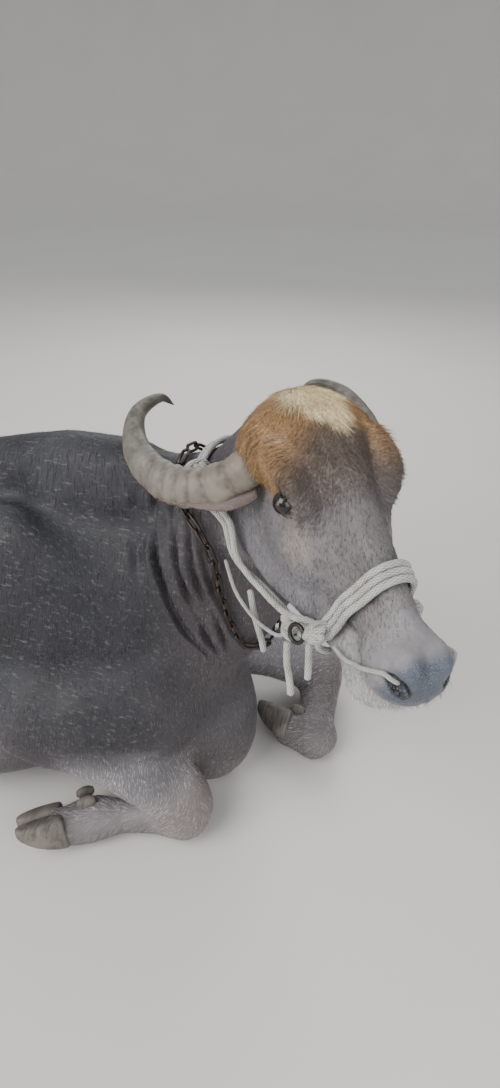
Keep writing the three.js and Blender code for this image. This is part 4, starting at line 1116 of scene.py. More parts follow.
def copies_tree():
    """Sets a copy of one small mesh on every point, turned and sized as the point says."""
    tree = bpy.data.node_groups.new("copies_on_points", "GeometryNodeTree")
    sockets = (("Geometry", "Geometry"), ("Copy", "Object"), ("Size", "Float"),
               ("Size spread", "Float"), ("Seed", "Int"), ("Finish", "Material"))
    for name, kind in sockets:
        tree.interface.new_socket(name, in_out="INPUT", socket_type="NodeSocket" + kind)
    tree.interface.new_socket("Geometry", in_out="OUTPUT", socket_type="NodeSocketGeometry")

    def node(kind, inputs=(), **values):
        made = tree.nodes.new(kind)
        for key, value in values.items():
            setattr(made, key, value)
        for key, value in inputs:
            made.inputs[key].default_value = value
        return made

    def named(name):
        return node("GeometryNodeInputNamedAttribute", [("Name", name)], data_type="FLOAT_VECTOR")

    given = node("NodeGroupInput")
    result = node("NodeGroupOutput")
    info = node("GeometryNodeObjectInfo")
    place = node("GeometryNodeInstanceOnPoints")
    turn, stretch = named("turn"), named("stretch")
    euler = node("FunctionNodeEulerToRotation")
    vary = node("FunctionNodeRandomValue", [(2, -0.5), (3, 0.5)], data_type="FLOAT")
    spread = node("ShaderNodeMath", operation="MULTIPLY")
    grown = node("ShaderNodeMath", [(1, 1.0)], operation="ADD")
    sized = node("ShaderNodeMath", operation="MULTIPLY")
    scale = node("ShaderNodeVectorMath", operation="SCALE")
    real = node("GeometryNodeRealizeInstances")
    coat = node("GeometryNodeSetMaterial")
    for source, output, target, entry in (
        (given, "Geometry", place, "Points"),
        (given, "Copy", info, "Object"),
        (info, "Geometry", place, "Instance"),
        (turn, "Attribute", euler, 0),
        (euler, 0, place, "Rotation"),
        (given, "Seed", vary, "Seed"),
        (vary, 1, spread, 0),
        (given, "Size spread", spread, 1),
        (spread, 0, grown, 0),
        (grown, 0, sized, 0),
        (given, "Size", sized, 1),
        (stretch, "Attribute", scale, 0),
        (sized, 0, scale, "Scale"),
        (scale, 0, place, "Scale"),
        (place, "Instances", real, "Geometry"),
        (real, "Geometry", coat, "Geometry"),
        (given, "Finish", coat, "Material"),
        (coat, "Geometry", result, "Geometry"),
    ):
        tree.links.new(source.outputs[output], target.inputs[entry])
    return tree


def rotations_to_euler(forward, rise):
    """Euler turns that lay a copy's X along forward and its Z near rise."""
    forward = unit(forward)
    side = unit(np.cross(rise, forward))
    rise = np.cross(forward, side)
    pitch = np.arcsin(np.clip(-forward[:, 2], -1, 1))
    yaw = np.arctan2(forward[:, 1], forward[:, 0])
    roll = np.arctan2(side[:, 2], rise[:, 2])
    return np.column_stack([roll, pitch, yaw])


def set_copies(name, template, points, forward, rise, stretch, size, spread, seed, material):
    """Runs the copies tree and returns the finished mesh, one template after another."""
    tree = finish("copies", copies_tree)
    cloud = bpy.data.meshes.new(name + "_points")
    cloud.from_pydata((np.asarray(points) * MM).tolist(), [], [])
    for key, values in (("turn", rotations_to_euler(forward, rise)), ("stretch", stretch)):
        layer = cloud.attributes.new(key, "FLOAT_VECTOR", "POINT")
        layer.data.foreach_set("vector", np.asarray(values, np.float32).ravel())
    holder = bpy.data.objects.new(name + "_points", cloud)
    bpy.context.scene.collection.objects.link(holder)
    model = bpy.data.meshes.new(name + "_copy")
    model.from_pydata(*template)
    copy = bpy.data.objects.new(name + "_copy", model)
    modifier = holder.modifiers.new("copies", "NODES")
    modifier.node_group = tree
    values = {"Copy": copy, "Size": size, "Size spread": spread, "Seed": seed, "Finish": material}
    for item in tree.interface.items_tree:
        if item.item_type == "SOCKET" and item.in_out == "INPUT" and item.name in values:
            modifier[item.identifier] = values[item.name]
    holder.update_tag()
    bpy.context.view_layer.update()
    seen = holder.evaluated_get(bpy.context.evaluated_depsgraph_get())
    mesh = bpy.data.meshes.new_from_object(seen)
    bpy.data.objects.remove(holder)
    bpy.data.objects.remove(copy)
    for key in ("turn", "stretch"):
        if key in mesh.attributes:
            mesh.attributes.remove(mesh.attributes[key])
    return mesh


def tuft_template(rings, sides, curl):
    """A tapered lock that starts below the skin and bends over, one unit long along X."""
    points, faces = [], []
    for r in range(rings):
        share = r / rings
        width = 0.5 * (1 - share) ** 0.7
        for s in range(sides):
            angle = 2 * math.pi * s / sides
            points.append((share * 1.08 - 0.08, width * math.cos(angle),
                           0.6 * width * math.sin(angle) + curl * share * (1 - share)))
    points.append((1.0, 0.0, 0.0))
    for r in range(rings - 1):
        for s in range(sides):
            t = (s + 1) % sides
            a, b = r * sides, (r + 1) * sides
            faces.append((a + s, b + s, b + t, a + t))
    tip = len(points) - 1
    base = (rings - 1) * sides
    faces.extend([(base + s, tip, base + (s + 1) % sides) for s in range(sides)])
    faces.append(tuple(range(sides)))
    return points, [], faces


class Coat:
    """A mesh on which hair can be rooted, with its normals and colours."""

    def __init__(self, mesh, points, normal, colours):
        mesh.calc_loop_triangles()
        self.triangles = np.empty(len(mesh.loop_triangles) * 3, np.int32)
        mesh.loop_triangles.foreach_get("vertices", self.triangles)
        self.triangles = self.triangles.reshape(-1, 3)
        self.points, self.normal, self.colours = points, normal, colours
        a, b, c = (points[self.triangles[:, i]] for i in range(3))
        self.area = np.linalg.norm(np.cross(b - a, c - a), axis=1) / 2
        self.centres = (a + b + c) / 3

    def roots(self, count, weight, seed):
        """Places, normals and colours of some roots, and the draw that made them."""
        draw = np.random.default_rng(seed)
        share = self.area * weight
        pick = draw.choice(len(share), size=count, p=share / share.sum())
        uv = draw.random((count, 2))
        flip = uv.sum(1) > 1
        uv[flip] = 1 - uv[flip]
        weights = np.column_stack([1 - uv.sum(1), uv])
        corners = self.triangles[pick]

        def mixed(values):
            return (values[corners] * weights[:, :, None]).sum(1)

        return mixed(self.points), unit(mixed(self.normal)), mixed(self.colours), draw


def comb(points):
    """Which way the hair lies: back and down over the body, down the face on the head."""
    lie = np.column_stack([
        -0.9 + 0.95 * smoothstep(-500, -100, points[:, 0]), np.sign(points[:, 1]) * 0.1,
        np.full(len(points), -0.9)])
    leg = smoothstep(260, 140, points[:, 2])[:, None]
    lie = lie * (1 - leg) + leg * np.array([-0.5, 0.0, -0.5])
    q = to_head(points)
    on_head = head_share(points)[:, None]
    face_lie = np.column_stack([
        np.full(len(q), 0.75), np.clip(q[:, 1] / 90, -1, 1) * 0.4, np.full(len(q), -0.35)])
    return lie * (1 - on_head) + (face_lie @ HEAD_TURN.T) * on_head


def grow_hair(name, coat, count, weight, length, width, lift, spread, seed, template,
              lighten=1.0, lie=comb, tilt=0.25):
    """One group of like tufts: scattered, combed, and coloured as the skin with its bake places."""
    roots, normal, colours, draw = coat.roots(count, weight, seed)
    way = unit(lie(roots)) + draw.normal(size=roots.shape) * tilt
    way -= normal * (way * normal).sum(1, keepdims=True)
    way = unit(way) + normal * lift * draw.uniform(0.5, 1.4, (count, 1))
    reach = length * draw.uniform(0.75, 1.15, count)
    stretch = np.column_stack([reach, np.full(count, width), np.full(count, width)]) * MM
    material = finish("coat_hair", hair_finish, "coat_hair")
    mesh = set_copies(name, template, roots, way, normal, stretch, 1.0, spread, seed, material)
    colour_tufts(mesh, len(template[0]), roots, colours * lighten, draw)
    return dress(mesh, name, material)


def colour_tufts(mesh, points_each, roots, colours, draw):
    """Gives each tuft its root's colour, a little varied, and a small patch of the unwrap."""
    count = len(mesh.vertices) // points_each
    tone = draw.uniform(0.75, 1.3, (count, 1))
    each = np.clip(colours[:count] * tone, 0, 1)
    paint_points(mesh, "hide_colour", np.repeat(each, points_each, axis=0))
    for layer in list(mesh.uv_layers):
        mesh.uv_layers.remove(layer)
    layer = mesh.uv_layers.new(name="OFBake")
    corners = np.empty(len(mesh.loops), np.int32)
    mesh.loops.foreach_get("vertex_index", corners)
    within = corners % points_each
    patch = np.column_stack([within % 4, within // 4]) * (0.003 / max(4, points_each // 4 + 1))
    places = bake_places(roots)[np.minimum(corners // points_each, count - 1)] + patch
    layer.data.foreach_set("uv", places.astype(np.float32).ravel())


# Rope and chain

def rope_mesh(path, radius, sides=16):
    """A braided rope: points, faces, where each point lies round and along it, and its path."""
    path = np.asarray(path, float)
    count = max(8, int(path_length(path) / 2.4))
    path = even_path(path, count) if len(path) > 3 else np.linspace(path[0], path[-1], count + 1)
    side, rise = path_frames(path)
    angles = np.arange(sides) * 2 * math.pi / sides
    along = np.linspace(0, path_length(path), count + 1)
    rings, braid = [], []
    for i, centre in enumerate(path):
        plait = np.abs(np.sin(3 * angles + along[i] / (0.9 * radius)))
        r = radius * (0.90 + 0.10 * plait) * (0.6 if i in (0, count) else 1)
        a, b = np.cos(angles), np.sin(angles)
        rings.append(centre + (r * a)[:, None] * side[i] + (r * b)[:, None] * rise[i])
        braid.append(np.column_stack([a, b, np.full(sides, along[i] / radius)]))
    points, faces = close_ends(np.vstack(rings), rings_to_faces(count + 1, sides), sides)
    return points, faces, np.vstack([*braid, [(1, 0, 0), (1, 0, along[-1] / radius)]]), path


def on_skin(guides, count, height):
    """A path over the head and neck at a height above the skin, with a guide's own lift added."""
    path = even_path([g[:3] for g in guides], count)
    lifts = np.interp(np.linspace(0, 1, count + 1), np.linspace(0, 1, len(guides)),
                      [g[3] if len(g) > 3 else 0 for g in guides])
    return settle(head_and_neck, path, height + lifts, 4)


def strand_offsets(path, offsets):
    """Paths side by side on the skin, each set off across it."""
    _, slope = slope_of(head_and_neck, path)
    across = unit(np.cross(unit(slope), unit(np.gradient(path, axis=0))))
    return [path + across * offset for offset in offsets]


# Guides of the ropes in the head's frame, with a lift as a fourth number; NAPE and COLLAR lie in
# the body's frame
NOSEBAND = [(358, -82, -152, 4), (352, -56, -108, 3), (358, -42, -50), (361, -18, -10),
            (361, 18, -10), (358, 42, -50), (352, 56, -108, 3), (358, 82, -152, 4)]
JAW_STRAP = [(357, -80, -160, 3), (360, -46, -196, 5), (360, 0, -202, 5), (360, 46, -196, 5),
             (357, 80, -160, 3)]
CHEEK = [(342, 86, -168), (300, 84, -202, 5), (232, 84, -238, 12), (150, 103, -238, 11),
         (66, 118, -203, 8)]
NAPE = [(286, -100, 890), (262, -80, 906), (248, -44, 926), (256, 0, 938), (280, 45, 930),
        (334, 84, 900), (395, 96, 870)]
FREE_ENDS = {
    "knot_tail_long": [(324, -102, -230), (346, -106, -254), (368, -104, -280), (386, -102, -306)],
    "knot_tail_short": [(344, -84, -184), (360, -84, -208), (378, -84, -240), (386, -84, -256)],
    "strap_tail": [(182, -106, -286), (222, -106, -314), (262, -102, -338), (276, -100, -354)],
    "slack_strand": [(120, -136, -268), (178, -130, -294), (236, -114, -298), (290, -98, -270),
                     (308, -96, -230)],
}
COLLAR = [(200, 0, 912), (206, -60, 896), (224, -96, 866), (256, -112, 842), (285, -118, 798),
          (298, -110, 696), (314, -97, 617), (334, -80, 556), (372, 0, 530)]


def to_body(guides):
    return [(*from_head(g[:3]), *g[3:]) for g in guides]


def cotton_piece(name, parts, replaces, tint):
    points, faces = joined([(p, f) for p, f, *_ in parts])
    material = finish("braided_cotton", cotton_finish, "braided_cotton", linear(tint))
    piece = make_piece(name, points, faces, material, replaces)
    layer = piece.data.attributes.new("braid", "FLOAT_VECTOR", "POINT")
    braid = np.concatenate([part[2] for part in parts])
    layer.data.foreach_set("vector", braid.astype(np.float32).ravel())
    return piece


def wound_knot(centre, radii, turns, radius, axis, up):
    """Rope wound tightly round a core, with one turn crossing over the rest."""
    axis, up = unit(axis), unit(up)
    side = np.cross(up, axis)
    t = np.linspace(0, 1, 24 * turns)
    angle = 2 * math.pi * turns * t
    along = (t - 0.5) * 2 * (radii[0] - radius)
    bulge = np.sqrt(np.clip(1 - (along / (radii[0] + radius)) ** 2, 0.15, 1))
    path = (centre + along[:, None] * axis
            + (np.cos(angle) * (radii[1] - radius) * bulge)[:, None] * side
            + (np.sin(angle) * (radii[2] - radius) * bulge)[:, None] * up)
    cross_angle = np.linspace(-0.2, math.pi + 0.2, 30)
    over = (centre + (np.cos(cross_angle) * (radii[0] - radius * 0.5))[:, None] * axis
            + (np.sin(cross_angle) * (radii[2] - radius * 0.3))[:, None] * up)
    return [rope_mesh(path, radius), rope_mesh(over, radius)]


# Settings

class SkinSettings(PropertyGroup):
    """Sizes of the skin."""

    cell: FloatProperty(name="Skin cell", description="Spacing of the skin's points", default=0.0116,
                        min=0.008, max=0.05, subtype="DISTANCE")
    depth: FloatProperty(name="Depth", description="How far the skin lies inside the solids",
                         default=0.002, min=0.0, max=0.01, subtype="DISTANCE")


class CoatSettings(PropertyGroup):
    """Numbers and lengths of the hair."""

    body_hairs: IntProperty(name="Body hairs", description="Sparse hairs on body and legs",
                            default=42000, min=0, max=45000)
    face_hairs: IntProperty(name="Face hairs", description="Short hairs on the face",
                            default=20000, min=0, max=40000)
    crown_locks: IntProperty(name="Crown locks", description="Longer locks between the horns",
                             default=8500, min=0, max=9000)
    forehead_hairs: IntProperty(name="Forehead hairs", description="Hairs down to the eyes",
                                default=9000, min=0, max=15000)
    body_length: FloatProperty(name="Body hair length", description="Length of a body hair",
                               default=0.019, min=0.005, max=0.06, subtype="DISTANCE")
    crown_length: FloatProperty(name="Crown lock length", description="Length of a crown lock",
                                default=0.030, min=0.01, max=0.09, subtype="DISTANCE")


class TrimSettings(PropertyGroup):
    """Colours of horn and rope."""

    rope: FloatVectorProperty(name="Cotton", description="Colour of the clean cotton rope",
                              default=(0.78, 0.79, 0.77), size=3, subtype="COLOR")
    horn_root: FloatVectorProperty(name="Horn root", description="Colour near the horn's root",
                                   default=(0.47, 0.435, 0.39), size=3, subtype="COLOR")
    horn_tip: FloatVectorProperty(name="Horn middle", description="Colour half way up the horn",
                                  default=(0.42, 0.405, 0.375), size=3, subtype="COLOR")


class StageSettings(PropertyGroup):
    """The studio round the model."""

    floor: FloatVectorProperty(name="Floor", description="Colour of the floor",
                               default=(0.80, 0.79, 0.77), size=3, subtype="COLOR")
    eye_height: FloatProperty(name="Camera height", description="Height of the camera",
                              default=1.5, min=0.5, max=3.0, subtype="DISTANCE")
    key_power: FloatProperty(name="Key light", description="Strength of the large soft light",
                             default=150.0, min=0.0, max=2000.0, unit="POWER")


# Operators

class BUFFALO_OT_stage(Operator):
    """Makes the floor, the soft lights and the camera"""

    bl_idname = "buffalo.stage"
    bl_label = "Studio"

    def execute(self, context):
        settings = context.scene.buffalo_stage
        count, curve = 96, 4.0
        profile = [(0.01, 0.0), (1, 0.0), (4, 0.0), (10, 0.0)]
        profile += [(10 + curve * math.sin(t), curve * (1 - math.cos(t)))
                    for t in np.linspace(0.1, math.pi / 2, 16)]
        rings = [(r * math.cos(turn), r * math.sin(turn), z)
                 for r, z in profile for turn in np.arange(count) * 2 * math.pi / count]
        faces = [face[::-1] for face in rings_to_faces(len(profile), count)]
        faces.append(tuple(range(count)))
        mesh = bpy.data.meshes.new("floor")
        mesh.from_pydata(rings, [], faces)
        mesh.polygons.foreach_set("use_smooth", [True] * len(mesh.polygons))
        mesh.materials.append(floor_finish(settings.floor))
        floor = bpy.data.objects.new("floor", mesh)
        context.scene.collection.objects.link(floor)

        world = bpy.data.worlds.new("studio")
        world.use_nodes = True
        sky = world.node_tree.nodes["Background"]
        sky.inputs["Color"].default_value = (0.93, 0.95, 1.0, 1)
        sky.inputs["Strength"].default_value = 0.72
        context.scene.world = world

        def facing(look):
            return Vector(look).to_track_quat("-Z", "Y").to_euler()

        for name, place, aim, size, power, colour in (
            ("key", (-1.2, -2.6, 3.4), (0.1, 0, 0.6), 2.6, settings.key_power, (1.0, 0.98, 0.95)),
            ("fill", (2.6, -2.2, 1.6), (0.3, -0.1, 0.6), 2.4, 60, (0.95, 0.97, 1.0)),
            ("side", (-2.4, -2.6, 1.2), (0.1, -0.1, 0.6), 2.2, 60, (0.95, 0.97, 1.0)),
            ("rim", (-0.6, 3.4, 3.0), (-0.2, 0, 0.7), 2.4, 95, (1.0, 0.99, 0.97)),
        ):
            data = bpy.data.lights.new(name, "AREA")
            data.size, data.energy, data.color = size, power, colour
            lamp = bpy.data.objects.new(name, data)
            lamp.location = place
            lamp.rotation_euler = facing(Vector(aim) - Vector(place))
            context.scene.collection.objects.link(lamp)

        camera = bpy.data.objects.new("camera", bpy.data.cameras.new("camera"))
        camera.data.sensor_width = SENSOR_SIZE
        camera.data.lens = FOCAL_LENGTH
        camera.data.clip_start, camera.data.clip_end = 0.02, 60
        camera.location = (*CAMERA_PLACE, settings.eye_height)
        pitch = math.radians(CAMERA_PITCH)
        ahead = [part * math.cos(pitch) for part in CAMERA_HEADING]
        camera.rotation_euler = facing((*ahead, -math.sin(pitch)))
        context.scene.collection.objects.link(camera)
        context.scene.camera = camera
        return {"FINISHED"}


class BUFFALO_OT_free_ends(Operator):
    """Makes the loose rope ends that hang below the cheek"""

    bl_idname = "buffalo.free_ends"
    bl_label = "Loose rope ends"

    def execute(self, context):
        tint = context.scene.buffalo_trim.rope
        for name, guides in FREE_ENDS.items():
            radius = THIN_ROPE_RADIUS if name == "slack_strand" else ROPE_RADIUS
            path = even_path(from_head(guides), 24)
            part = rope_mesh(path, radius)
            piece = cotton_piece(name + "_rope", [part], [name], tint)
            metres = part[3] * MM
            path_length(metres)
        return {"FINISHED"}


FLESH_NODES = [
    name for name in NODES
    if name in ("head", "neck", "torso", "tail") or name.endswith("cannon")
    or name in ("foreleg_right", "foreleg_left", "hindleg_right", "hindleg_left")
]


# The skin's coat, kept here by the skin's operator for the hair's
SKIN = {}


class BUFFALO_OT_skin(Operator):
    """Makes the one skin that stands for all the flesh"""

    bl_idname = "buffalo.skin"
    bl_label = "Skin"

    def execute(self, context):
        settings = context.scene.buffalo_skin
        mesh, points, normal = skin_mesh(settings.cell * 1000, settings.depth * 1000)
        colours = hide_colours(points, normal)
        paint_points(mesh, "hide_colour", colours)
        folded = to_half_head(points)
        head = head_share(points)
        pad = head * smoothstep(470, 494, folded[:, 0]) * smoothstep(-116, -100, folded[:, 2])
        weigh_points(mesh, "wet", np.maximum(pad, head * smoothstep(3, -2, NOSTRIL(folded))))
        upper = smoothstep(-0.6, 0.0, normal[:, 2])
        weigh_points(mesh, "hairy", (1 - 0.8 * head) * (1 - pad) * upper)
        dress(mesh, "skin", finish("hide", hide_finish), FLESH_NODES)
        SKIN["coat"] = Coat(mesh, points, normal, colours)
        return {"FINISHED"}


class BUFFALO_OT_coat(Operator):
    """Grows the hair: crown, forehead, face, chin and body"""

    bl_idname = "buffalo.coat"
    bl_label = "Hair"

    def execute(self, context):
        settings = context.scene.buffalo_coat
        coat = SKIN["coat"]
        c = coat.centres
        q = to_head(c)
        head = head_share(c)
        x, y, z = q.T
        uneven = lumps(c, 90, 21)
        crown = crown_share(x, y, z, uneven) * smoothstep(80, 20, HEAD_FORM(q))
        lock = tuft_template(4, 3, 0.16)
        bristle = tuft_template(2, 3, 0.2)
        fine = tuft_template(1, 3, 0.0)

        def crown_lie(points):
            at = to_head(points)
            aside = np.clip(at[:, 1] / 70, -1.2, 1.2)
            swirl = lumps(points, 46, 23)
            way = np.column_stack([
                0.9 - 0.35 * np.abs(aside), aside + 0.35 * swirl, -0.25 - 0.3 * np.abs(aside)])
            return way @ HEAD_TURN.T

        grow_hair("crown_hair", coat, settings.crown_locks, crown, settings.crown_length * 1000,
                  1.5, 0.07, 0.5, 31, lock, 1.05, crown_lie, 0.16)
        brow = head * smoothstep(250, 190, x) * smoothstep(70, 120, x) * smoothstep(-70, -40, z)
        bare = smoothstep(27, 34, eye_distance(to_half_head(c)))
        grow_hair("forehead_hair", coat, settings.forehead_hairs, brow * bare, 15, 1.0, 0.10, 0.4,
                  35, bristle, 1.15, crown_lie, 0.14)
        front = head * (1 - crown) * smoothstep(455, 400, x) * bare
        grow_hair("face_hair", coat, settings.face_hairs, front, 8, 0.8, 0.10, 0.4, 32, fine, 1.25)
        chin = head * smoothstep(-120, -150, z) * smoothstep(400, 440, x)
        lip = head * smoothstep(420, 450, x) * smoothstep(-90, -110, z)
        grow_hair("chin_bristles", coat, 1500, chin + 0.6 * lip, 14, 0.7, 0.7, 0.6, 33, bristle, 1.7)
        trunk = (1 - head) * smoothstep(30, 60, c[:, 2])
        rear = trunk * smoothstep(-150, -260, c[:, 0])
        for name, weight, seed in (("body_hair", rear, 34), ("shoulder_hair", trunk - rear, 36)):
            grow_hair(name, coat, settings.body_hairs, weight, settings.body_length * 1000, 0.7,
                      0.06, 0.5, seed, fine, lighten=3.6, tilt=0.10)
        return {"FINISHED"}


class BUFFALO_OT_horns(Operator):
    """Makes both horns, ringed near the root and smooth towards the tip"""

    bl_idname = "buffalo.horns"
    bl_label = "Horns"

    def execute(self, context):
        settings = context.scene.buffalo_trim
        guides = [(66, 62, -30), (71, 105, -75), (43, 172, -147), (-23, 223, -185), (-114, 247, -194),
                  (-195, 224, -185), (-226, 170, -180), (-232, 138, -208)]
        material = finish("horn", horn_finish, linear(settings.horn_root), linear(settings.horn_tip))
        for name, side in (("right", -1), ("left", 1)):
            path = even_path([(x, y * side, z) for x, y, z in guides], 220)
            ring_of = {}

            def shape(share, angles):
                taper = max(1 - share ** 3.5, 0.01) ** 0.8
                fade = smoothstep(0.06, 0.14, share) * smoothstep(0.78, 0.3, share)
                beat = math.sin(share * 92 + 2.2 * math.sin(share * 17))
                ring_of[share] = fade * (0.5 + 0.5 * beat)
                ring = 1.5 * fade * beat + 0.5 * math.sin(share * 260) * fade
                keel = 1 + 0.07 * np.exp(-((np.cos(angles) - 1) / 0.25) ** 2)
                wide = ((29 + 7 * math.sin(math.pi * share)) * taper + ring) * keel
                thin = (26 * taper + ring) * (1 + 0.05 * np.cos(3 * angles))
                return wide * np.cos(angles), thin * np.sin(angles)

            points, faces = loft(path, shape, 30, (0.2, 0, 1))
            piece = make_piece(f"horn_{name}_ringed", from_head(points), faces, material,
                               [f"horn_{name}"])
            shares = np.repeat(np.linspace(0, 1, 221), 30)
            rings = np.repeat([ring_of[s] for s in sorted(ring_of)], 30)
            weigh_points(piece.data, "along", np.concatenate([shares, [0, 1]]))
            weigh_points(piece.data, "ring", np.concatenate([rings, [0, 1]]))
        return {"FINISHED"}


class BUFFALO_OT_ears(Operator):
    """Makes both ears as cupped leaves with a soft hair fringe"""

    bl_idname = "buffalo.ears"
    bl_label = "Ears"

    def execute(self, context):
        across, along = 22, 40
        for name, side in (("right", -1), ("left", 1)):
            root = np.array([90, 92 * side, -106.0])
            out = unit([-0.36, 0.7 * side, -0.62])
            depth = np.array([0.62, 0.1 * side, -0.78])
            depth = unit(depth - out * (depth @ out))
            wide = np.cross(out, depth) * side

            def at(v, u, offset):
                leaf = max(math.sin(math.pi * (0.17 + 0.83 * u ** 0.9)), 0) ** 0.8
                half = EAR_WIDTH / 2 * max(leaf, 0.06)
                roll = 2.2 + (0.75 - 2.2) * min(u * 1.6, 1)
                bend = half / roll
                turn = (2 * v - 1) * roll
                wave = 1.6 * math.sin(9 * u + 4 * v)
                return (root + out * (EAR_LENGTH * u) + wide * ((bend + offset) * math.sin(turn))
                        + depth * (bend - (bend + offset) * math.cos(turn) - 30 * u * u + wave * u))

            points, faces = [], []
            for layer in (1, -1):
                for a in range(across + 1):
                    for b in range(along + 1):
                        v, u = a / across, b / along
                        edge = min(1, 5 * v, 5 * (1 - v), 6 * (1 - u) + 0.15)
                        points.append(at(v, u, layer * EAR_THICKNESS / 2 * (0.3 + 0.6 * edge)))
            row = along + 1
            back = (across + 1) * row
            for a in range(across):
                for b in range(along):
                    i = a * row + b
                    faces.append((i, i + row, i + row + 1, i + 1))
                    faces.append((back + i, back + i + 1, back + i + row + 1, back + i + row))
                faces.append((a * row, back + a * row, back + (a + 1) * row, (a + 1) * row))
                i = a * row + along
                faces.append((i, i + row, back + i + row, back + i))
            for b in range(along):
                faces.append((b, b + 1, back + b + 1, back + b))
                i = across * row + b
                faces.append((i, back + i, back + i + 1, i + 1))
            if side < 0:
                faces = [f[::-1] for f in faces]
            points = from_head(points)
            mesh = bpy.data.meshes.new("ear")
            mesh.from_pydata((points * MM).tolist(), [], faces)
            mesh.update()
            normal = np.empty(len(mesh.vertices) * 3, np.float32)
            mesh.vertices.foreach_get("normal", normal)
            normal = normal.reshape(-1, 3).astype(float)
            shares = np.tile(np.tile(np.linspace(0, 1, row), across + 1), 2)
            outer = np.arange(len(points))[:, None] < back
            colours = np.where(outer, linear((0.40, 0.345, 0.33)), linear((0.50, 0.40, 0.375)))
            colours = colours * (1 - 0.25 * shares[:, None])
            paint_points(mesh, "hide_colour", colours)
            weigh_points(mesh, "wet", np.zeros(len(points)))
            weigh_points(mesh, "hairy", np.full(len(points), 0.7))
            dress(mesh, f"ear_{name}_leaf", finish("hide", hide_finish), [f"ear_{name}"])
            coat = Coat(mesh, points, normal, colours)
            tip_way = out @ HEAD_TURN.T
            u_of = ((to_head(coat.centres) - root) @ out) / EAR_LENGTH
            weight = 0.35 + smoothstep(0.5, 1.0, u_of)
            grow_hair(f"ear_{name}_hair", coat, 900, weight, 20, 1.0, 0.25, 0.5, 40 + side,
                      tuft_template(2, 3, 0.2), 1.7, lambda p: np.tile(tip_way, (len(p), 1)), 0.3)
        return {"FINISHED"}


class BUFFALO_OT_eyes(Operator):
    """Makes the two wet eyes, each with a low cornea and a long level pupil"""

    bl_idname = "buffalo.eyes"
    bl_label = "Eyes"

    def execute(self, context):
        for name, side in (("right", -1), ("left", 1)):
            rings, count = 40, 48
            across, _, sight = EYE_AXES * (1, side, 1)
            down = np.cross(sight, across)
            points, spread, pupil = [], [], []
            for r in range(1, rings):
                polar = math.pi * r / rings
                radius = EYEBALL_RADIUS * (1 + CORNEA_BULGE * bell(polar, 0.55))
                for s in range(count):
                    angle = 2 * math.pi * s / count
                    a, b = math.sin(polar) * math.cos(angle), math.sin(polar) * math.sin(angle)
                    points.append(radius * (a * across + b * down + math.cos(polar) * sight))
                    spread.append(min(polar / 1.25, 1))
                    pupil.append(1 - smoothstep(0.8, 1.1, math.hypot(a / 0.34, b / 0.17)))
            faces = rings_to_faces(rings - 1, count)
            points, faces = close_ends(np.array(points), faces, count)
            points[-2:] = EYEBALL_RADIUS * np.array([(1 + CORNEA_BULGE) * sight, -sight])
            if side > 0:
                faces = [f[::-1] for f in faces]
            centre = np.array(EYE) * (1, side, 1)
            piece = make_piece(f"eye_{name}_wet", from_head(points + centre), faces,
                               finish("eye", eye_finish), [f"eye_{name}"])
            turn_outward(piece.data)
            weigh_points(piece.data, "iris", spread + [0, 1])
            weigh_points(piece.data, "pupil", pupil + [1, 0])
        return {"FINISHED"}


def turn_outward(mesh):
    bm = bmesh.new()
    bm.from_mesh(mesh)
    bmesh.ops.recalc_face_normals(bm, faces=bm.faces)
    bm.to_mesh(mesh)
    bm.free()


def foot_frame(origin, forward, up):
    """A foot's origin, and its forward, side and up directions."""
    x = unit(forward)
    y = unit(np.cross(up, x))
    return np.array(origin, float), np.array([x, y, np.cross(x, y)])


# Each foot's frame, and how far back its dewclaws sit
FEET = {
    "foreleg_right": (foot_frame((-48, -300, 52), (-0.78, -0.62, -0.06), (0.1, -0.5, -0.86)), -62),
    "foreleg_left": (foot_frame((392, 146, 56), (-0.98, 0.17, -0.1), (-0.15, -0.86, -0.48)), -6),
    "hindleg_right": (foot_frame((-652, -457, 46), (0.99, -0.12, -0.08), (0.1, -0.35, 0.93)), -62),
    "hindleg_left": (foot_frame((-652, 457, 46), (0.99, 0.12, -0.08), (0.1, 0.35, 0.93)), -62),
}


